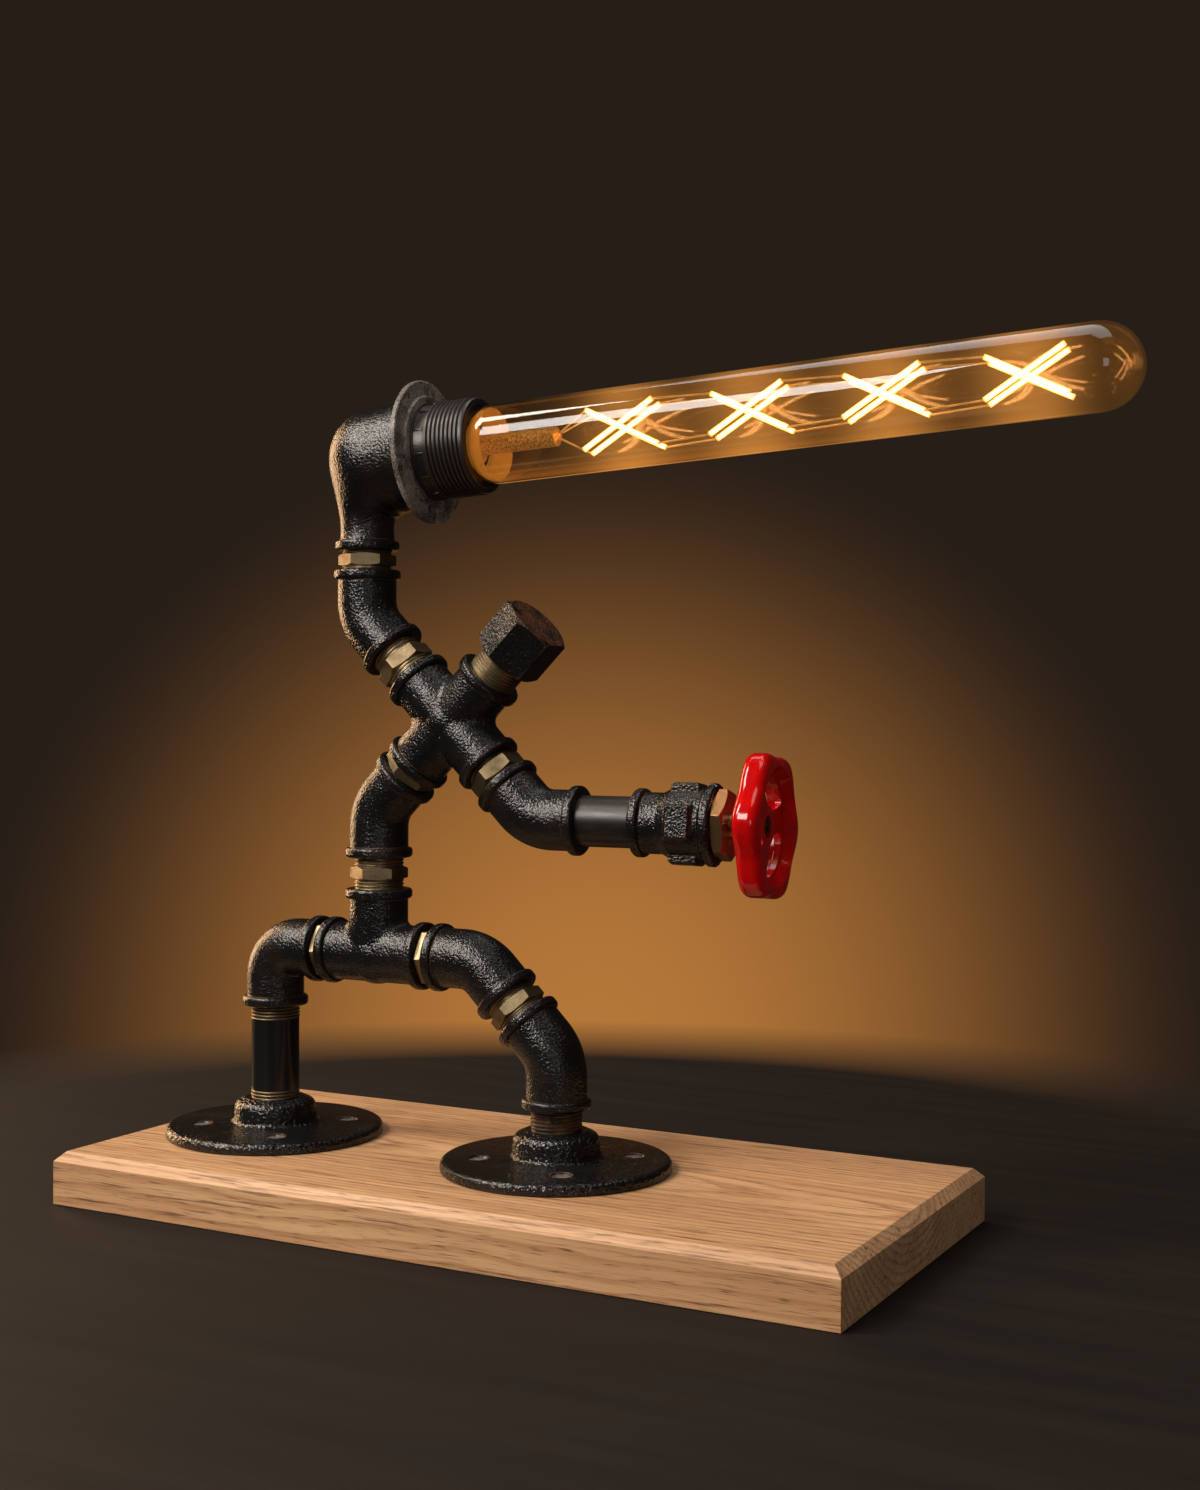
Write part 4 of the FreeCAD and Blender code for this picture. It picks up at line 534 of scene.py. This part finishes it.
def grained_bakelite():
    """Moulded ring with a leathery, greyed face."""
    finish = Finish("grained_bakelite")
    grain = finish.noise(1300, 2.0, 0.5)
    smears = finish.noise(90, 3.0, 0.6)
    greyed = finish.spread(finish.combine(grain, smears, "ADD"), 0.85, 1.25)
    finish.set(Base_Color=finish.mix(greyed, LEATHER_DARK, LEATHER_GREY), Roughness=0.42,
               Normal=finish.bump(grain, 0.3 * MM, 0.8))
    return finish.material


def red_enamel():
    """Thick glossy paint with a slight ripple."""
    finish = Finish("red_enamel", Roughness=0.13, Specular_IOR_Level=0.45)
    ripple = finish.noise(150, 2.0, 0.5)
    finish.set(Base_Color=finish.mix(finish.vary(ripple, 0.0, 1.0), ENAMEL_RED, ENAMEL_DEEP),
               Normal=finish.bump(ripple, 0.14 * MM, 0.4))
    return finish.material


def oak():
    """Oiled oak cut below the heart: rings about a line above the board, open pores and dark bands."""
    finish = Finish("oak", Specular_IOR_Level=0.35)
    heart = (0, HEART_TO_FRONT * MM, -HEART_HEIGHT * MM)
    about_heart = finish.stretched((1.0, 1.0, 1.0), place=heart, turn=(0, 0.035, 0.012))
    across = finish.add("ShaderNodeVectorMath", {0: about_heart, 1: (0, 1, 1)}, operation="MULTIPLY")
    radius = finish.length(across.outputs[0])
    wander = finish.noise(1.0, 3.0, 0.55, finish.stretched((9, 22, 22)))
    ring = finish.combine(finish.combine(wander, RING_WANDER * MM), radius, "ADD")
    ring = finish.combine(finish.combine(ring, 1 / (RING_WIDTH * MM)), 1.0, "MODULO")
    early = finish.combine(finish.spread(ring, 0.0, 0.12), finish.spread(ring, 0.55, 0.12))
    bands = finish.noise(1.0, 3.0, 0.6, finish.stretched((5, 70, 70)))
    fibres = finish.noise(1.0, 4.0, 0.65, finish.stretched((16, 900, 900)))
    streaks = finish.noise(1.0, 3.0, 0.6, finish.stretched((26, 620, 620), turn=(0, 0.03, -0.02)))
    dashes = finish.noise(1.0, 2.0, 0.5, finish.stretched((95, 1100, 1100)))
    base = finish.mix(finish.spread(bands, 0.32, 0.68), OAK_PALE, OAK_BROWN)
    base = finish.mix(finish.combine(early, 0.72), base, OAK_EARLY_WOOD)
    base = finish.mix(finish.combine(finish.spread(fibres, 0.40, 0.75), 0.34), base, OAK_FIBRE)
    crowding = finish.spread(early, 0.0, 1.0, 0.4, 1.0)
    short_pores = finish.combine(finish.spread(dashes, 0.56, 0.70), crowding)
    pores = finish.combine(finish.spread(streaks, 0.56, 0.70), short_pores, "MAXIMUM")
    base = finish.mix(finish.combine(pores, 0.82), base, OAK_PORE)
    relief = finish.combine(finish.combine(fibres, 0.6), finish.combine(pores, 0.8), "SUBTRACT")
    finish.set(Base_Color=base, Roughness=finish.vary(fibres, 0.42, 0.56),
               Normal=finish.bump(relief, 0.25 * MM, 0.5, under=finish.softened(0.5 * MM)))
    return finish.material


def amber_glass():
    """Thin amber glass with a painted glow from the rods, which swells at each crossing along the bulb."""
    finish = Finish("amber_glass", Base_Color=GLASS_AMBER, Transmission_Weight=1.0, IOR=1.45, Roughness=0.0,
                    Emission_Color=GLASS_GLOW)
    station = finish.combine(finish.dot(finish.coords, bulb_axis), head.dot(bulb_axis), "SUBTRACT")
    first = ROD_FIRST * MM
    pitch = ROD_PITCH * MM
    turns = finish.combine(finish.combine(station, first, "SUBTRACT"), 2 * math.pi / pitch)
    swell = finish.spread(finish.combine(turns, 0.0, "COSINE"), -1.0, 1.0, LIT_BETWEEN, 1.0)
    rising = finish.spread(station, first - LIT_LEAD * pitch, first)
    fading = finish.spread(station, first + LIT_END * pitch, first + LIT_FULL * pitch)
    glow = finish.combine(swell, finish.combine(rising, fading))
    finish.set(Emission_Strength=finish.combine(glow, LIT_STRENGTH))
    return finish.material


def stem_gold():
    """Gold core of the stem, with fine cells like wound foil, and a painted glow from the rods."""
    finish = Finish("stem_gold", Metallic=0.6, Roughness=0.32)
    packed = finish.stretched((1700, 1100, 1100))
    cells = finish.add("ShaderNodeTexVoronoi", {"Vector": packed, "Scale": 1.0})
    depth = cells.outputs["Distance"]
    base = finish.mix(finish.spread(depth, 0.2, 0.8), CORE_GOLD, CORE_SHADE)
    # Painted glow: the core shines in its own colour, as if lit by the rods.
    finish.set(Base_Color=base, Emission_Color=base, Emission_Strength=0.22,
               Normal=finish.bump(depth, 0.3 * MM, 0.7))
    return finish.material


def amber_end():
    """Thick glass of the bulb's end, with a painted glow from the rods within."""
    finish = Finish("amber_end", Roughness=0.15, Alpha=0.62, Emission_Color=END_GLOW,
                    Emission_Strength=0.30)
    finish.set(Base_Color=finish.mix(finish.noise(240, 2.0, 0.5), END_AMBER, END_BROWN))
    return finish.material


def rod_sheath():
    """Orange coat of a light rod, which its bright core shows through."""
    finish = Finish("rod_sheath", Emission_Color=SHEATH_GLOW, Alpha=0.5, Roughness=0.4)
    grain = finish.noise(900, 2.0)
    finish.set(Base_Color=finish.mix(grain, SHEATH_ORANGE, SHEATH_DEEP),
               Emission_Strength=finish.vary(grain, 1.3, 1.9))
    return finish.material


def rod_glow():
    """White-hot core of a light rod."""
    finish = Finish("light_rod_glow", Base_Color=ROD_WHITE, Emission_Color=ROD_WHITE, Emission_Strength=9.0,
                    Roughness=0.4)
    return finish.material


def warm_wire():
    """Fine nickel wire with a patchy painted glow from the rods, paler where it glows more."""
    finish = Finish("warm_wire", Metallic=0.8, Roughness=0.3, Emission_Color=WIRE_GLOW)
    patchy_painted_glow = finish.noise(300, 2.0)
    finish.set(Base_Color=finish.mix(patchy_painted_glow, WIRE_PALE, WIRE_DARK),
               Emission_Strength=finish.vary(patchy_painted_glow, 0.12, 0.45))
    return finish.material


def mottled(name, shade, roughness, metallic=0.0):
    """A plain finish for what lies inside, slightly mottled."""
    finish = Finish(name, Metallic=metallic)
    mottle = finish.noise(300, 3.0)
    darker = tuple(0.7 * part for part in shade[:3]) + (1,)
    finish.set(Base_Color=finish.mix(finish.combine(mottle, 0.3), shade, darker), Roughness=roughness,
               Normal=finish.bump(mottle, 0.05 * MM, 0.3))
    return finish.material


finishes = {
    "black_iron": cast_iron("black_cast_iron", 1050, 0.17, (0.18, 0.27)),
    "black_pipe": gloss_sleeve(),
    "brass": zinc(),
    "bushing": bushing_brass(),
    "dark_steel": dark_steel(),
    "screw_steel": screw_steel(),
    "bakelite": bakelite(),
    "grained": grained_bakelite(),
    "red_paint": red_enamel(),
    "oak": oak(),
    "amber_glass": amber_glass(),
    "stem_glass": stem_gold(),
    "amber_end": amber_end(),
    "rod_sheath": rod_sheath(),
    "light": rod_glow(),
    "warm_wire": warm_wire(),
    "pipe_satin": satin_pipe(),
    "flange_iron": cast_iron("flange_iron", 650, 0.38, (0.17, 0.26)),
    "cap_iron": cast_iron("cap_iron", 800, 0.24, (0.26, 0.36), (RAISED_ARM, HEX_CAP_END)),
    "ceramic": mottled("white_ceramic", CERAMIC_WHITE, 0.4),
    "nickel": mottled("nickelled_brass", NICKEL, 0.25, 1.0),
    "black_glass": mottled("black_glass", GLASS_BLACK, 0.1),
    "lead_sheath": mottled("lead_sheath", SHEATHING_BLACK, 0.5),
}
# Nodes with a finish of their own; every other node wears the finish of its slot
node_finish = {"shade_ring": "grained", "hex_bushing": "bushing", "rotary_switch": "bushing",
               "left_flange": "flange_iron", "right_flange": "flange_iron", "hex_cap": "cap_iron",
               "forearm_pipe": "pipe_satin", "light_rods": "rod_sheath", "filament_supports": "warm_wire"}
for part in frame["record"]["subparts"]:
    node = nodes[part["node"]]
    node.data.materials.clear()
    node.data.materials.append(finishes[node_finish.get(part["node"], part["material_slot"])])

# --- Pieces --------------------------------------------------------------------------------------


def in_plane(angle):
    """Direction at an angle above +X, in the plane of the figure."""
    return Vector((math.cos(math.radians(angle)), 0, math.sin(math.radians(angle))))


def middle(node):
    low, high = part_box(node)
    return (Vector(low) + Vector(high)) / 2


bodies = frame["record"]["behaviour"]["bodies"]
body_of = {node: body for body, members in bodies.items() for node in members}

for number, (node, angle, length, offset, slot) in enumerate(THREADS):
    half = length / 2 + THREAD_BED
    along = in_plane(angle)
    finish_piece(thread(THREAD_ROOT, THREAD_CREST, THREAD_PITCH, -half, half), f"{node}_thread_{number}",
                 middle(node) + along * offset * MM, along, body_of[node], finishes[slot])

socket = finish_piece(turned(SOCKET_PROFILE, segments=96), "socket_body", head, bulb_axis, "head",
                      finishes["bakelite"])
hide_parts("lamp_socket")
socket_thread = thread(SOCKET_THREAD_ROOT, SOCKET_THREAD_CREST, SOCKET_THREAD_PITCH, *SOCKET_THREAD,
                       segments=96)
finish_piece(socket_thread, "socket_thread", head, bulb_axis, "head", finishes["bakelite"])

stem = finish_piece(turned(STEM_PROFILE, segments=48), "stem_core", head, bulb_axis, "bulb",
                    finishes["stem_glass"])
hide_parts("bulb_stem")
finish_piece(rod_cores(), "rod_cores", head, bulb_axis, "bulb", finishes["light"])
finish_piece(turned(BULB_END_PROFILE, segments=72), "bulb_end", head, bulb_axis, "bulb",
             finishes["amber_end"])
finish_piece(collar_ribs(), "collar_ribs", head, bulb_axis, "head", finishes["bakelite"])

# --- Camera, table and light ---------------------------------------------------------------------

CAMERA_PLACE = (0.3934, -0.6673, 0.2003)
CAMERA_YAW = 27.976           # from +Y towards -X
CAMERA_PITCH = -0.712
CAMERA_ROLL = 0.287
CAMERA_LENS = 45.985
SENSOR_WIDTH = 36.0

TABLE_SIZE = 12.0
TABLE_TOP = -0.0003
TABLE_FADE = (0.36, 0.50)     # metres from the frame's origin between which the table fades out
TABLE_BLACK = colour(0.005, 0.004, 0.0035)
TABLE_BROWN = colour(0.016, 0.0115, 0.009)

BACKDROP = colour(0.020, 0.013, 0.009)
BACKDROP_GLOW = colour(0.46, 0.185, 0.042)
GLOW_TOWARDS = Vector((-0.47, 0.88, -0.165)).normalized()
GLOW_SPREAD = 19.0            # degrees about its middle that the glow fades out over
GLOW_FALLOFF = 2.4
ROOM_LIGHT = colour(1.0, 0.94, 0.87)
ROOM_STRENGTH = 0.22


def set_camera():
    camera_data = bpy.data.cameras.new("camera")
    camera_data.sensor_width = SENSOR_WIDTH
    camera_data.lens = CAMERA_LENS
    camera = bpy.data.objects.new("camera", camera_data)
    bpy.context.scene.collection.objects.link(camera)
    camera.matrix_world = (Matrix.Translation(CAMERA_PLACE)
                           @ Matrix.Rotation(math.radians(CAMERA_YAW), 4, "Z")
                           @ Matrix.Rotation(math.radians(90 + CAMERA_PITCH), 4, "X")
                           @ Matrix.Rotation(math.radians(CAMERA_ROLL), 4, "Z"))
    bpy.context.scene.camera = camera


def dark_table():
    """Dark table top: solid near the lamp, where it keeps the shadow, and gone farther off."""
    finish = Finish("dark_table", Roughness=0.7, Specular_IOR_Level=0.12)
    grain = finish.noise(1.0, 3.0, 0.6, finish.stretched((6, 70, 70)))
    finish.set(Base_Color=finish.mix(grain, TABLE_BLACK, TABLE_BROWN),
               Alpha=finish.spread(finish.length(finish.coords), *TABLE_FADE, 1.0, 0.0),
               Normal=finish.bump(grain, 1.0 * MM, 0.4))
    return finish.material


def set_room():
    """Dark backdrop with an amber glow, seen straight, in metal and through glass, and an even soft light."""
    world = bpy.context.scene.world or bpy.data.worlds.new("world")
    bpy.context.scene.world = world
    world.use_nodes = True
    world.node_tree.nodes.clear()
    room = Nodes(world.node_tree)
    rays = room.add("ShaderNodeLightPath").outputs
    seen = room.combine(rays["Is Camera Ray"], rays["Is Glossy Ray"], "MAXIMUM")
    seen = room.combine(seen, rays["Is Transmission Ray"], "MAXIMUM")
    direction = room.add("ShaderNodeTexCoord").outputs["Generated"]
    nearness = room.spread(room.dot(direction, GLOW_TOWARDS), math.cos(math.radians(GLOW_SPREAD)), 1.0)
    shade = room.mix(room.combine(nearness, GLOW_FALLOFF, "POWER"), BACKDROP, BACKDROP_GLOW)
    even = room.add("ShaderNodeBackground", {"Color": ROOM_LIGHT, "Strength": ROOM_STRENGTH}).outputs[0]
    backdrop = room.add("ShaderNodeBackground", {"Color": shade, "Strength": 1.0}).outputs[0]
    either = room.add("ShaderNodeMixShader", {0: seen, 1: even, 2: backdrop}).outputs[0]
    room.add("ShaderNodeOutputWorld", {"Surface": either})


def soft_box(name, place, target, size, watts, tint=(1, 1, 1)):
    """A rectangular lamp that lights and gleams, but is not itself in sight."""
    light = bpy.data.lights.new(name, "AREA")
    light.shape = "RECTANGLE"
    light.size, light.size_y = size
    light.energy = watts
    light.color = tint
    lamp = bpy.data.objects.new(name, light)
    lamp.location = place
    lamp.rotation_euler = (Vector(target) - Vector(place)).to_track_quat("-Z", "Y").to_euler()
    lamp.visible_camera = False
    lamp.visible_transmission = False
    bpy.context.scene.collection.objects.link(lamp)


set_camera()
deselect()
bpy.ops.mesh.primitive_plane_add(size=TABLE_SIZE, location=(0, 0, TABLE_TOP))
floor = bpy.context.object
floor.name = "floor"
floor.data.materials.append(dark_table())

set_room()
soft_box("key", (-1.45, -1.05, 2.00), (0.0, 0.0, 0.2), (0.65, 1.20), 54, (1.0, 0.90, 0.79))
soft_box("strip", (-0.32, -1.05, 0.85), (0.1, 0.0, 0.3), (0.55, 0.45), 14, (1.0, 0.92, 0.84))
soft_box("fill", (0.9, -1.2, 0.35), (0.0, 0.0, 0.15), (0.35, 0.5), 1.5)
soft_box("top", (0.1, 0.1, 1.3), (0.0, 0.0, 0.1), (1.2, 0.5), 5)
soft_box("rim", (-2.0, 0.55, 0.6), (0.0, 0.0, 0.2), (0.6, 1.5), 30, (1.0, 0.62, 0.33))

bpy.context.scene.view_settings.view_transform = "Standard"
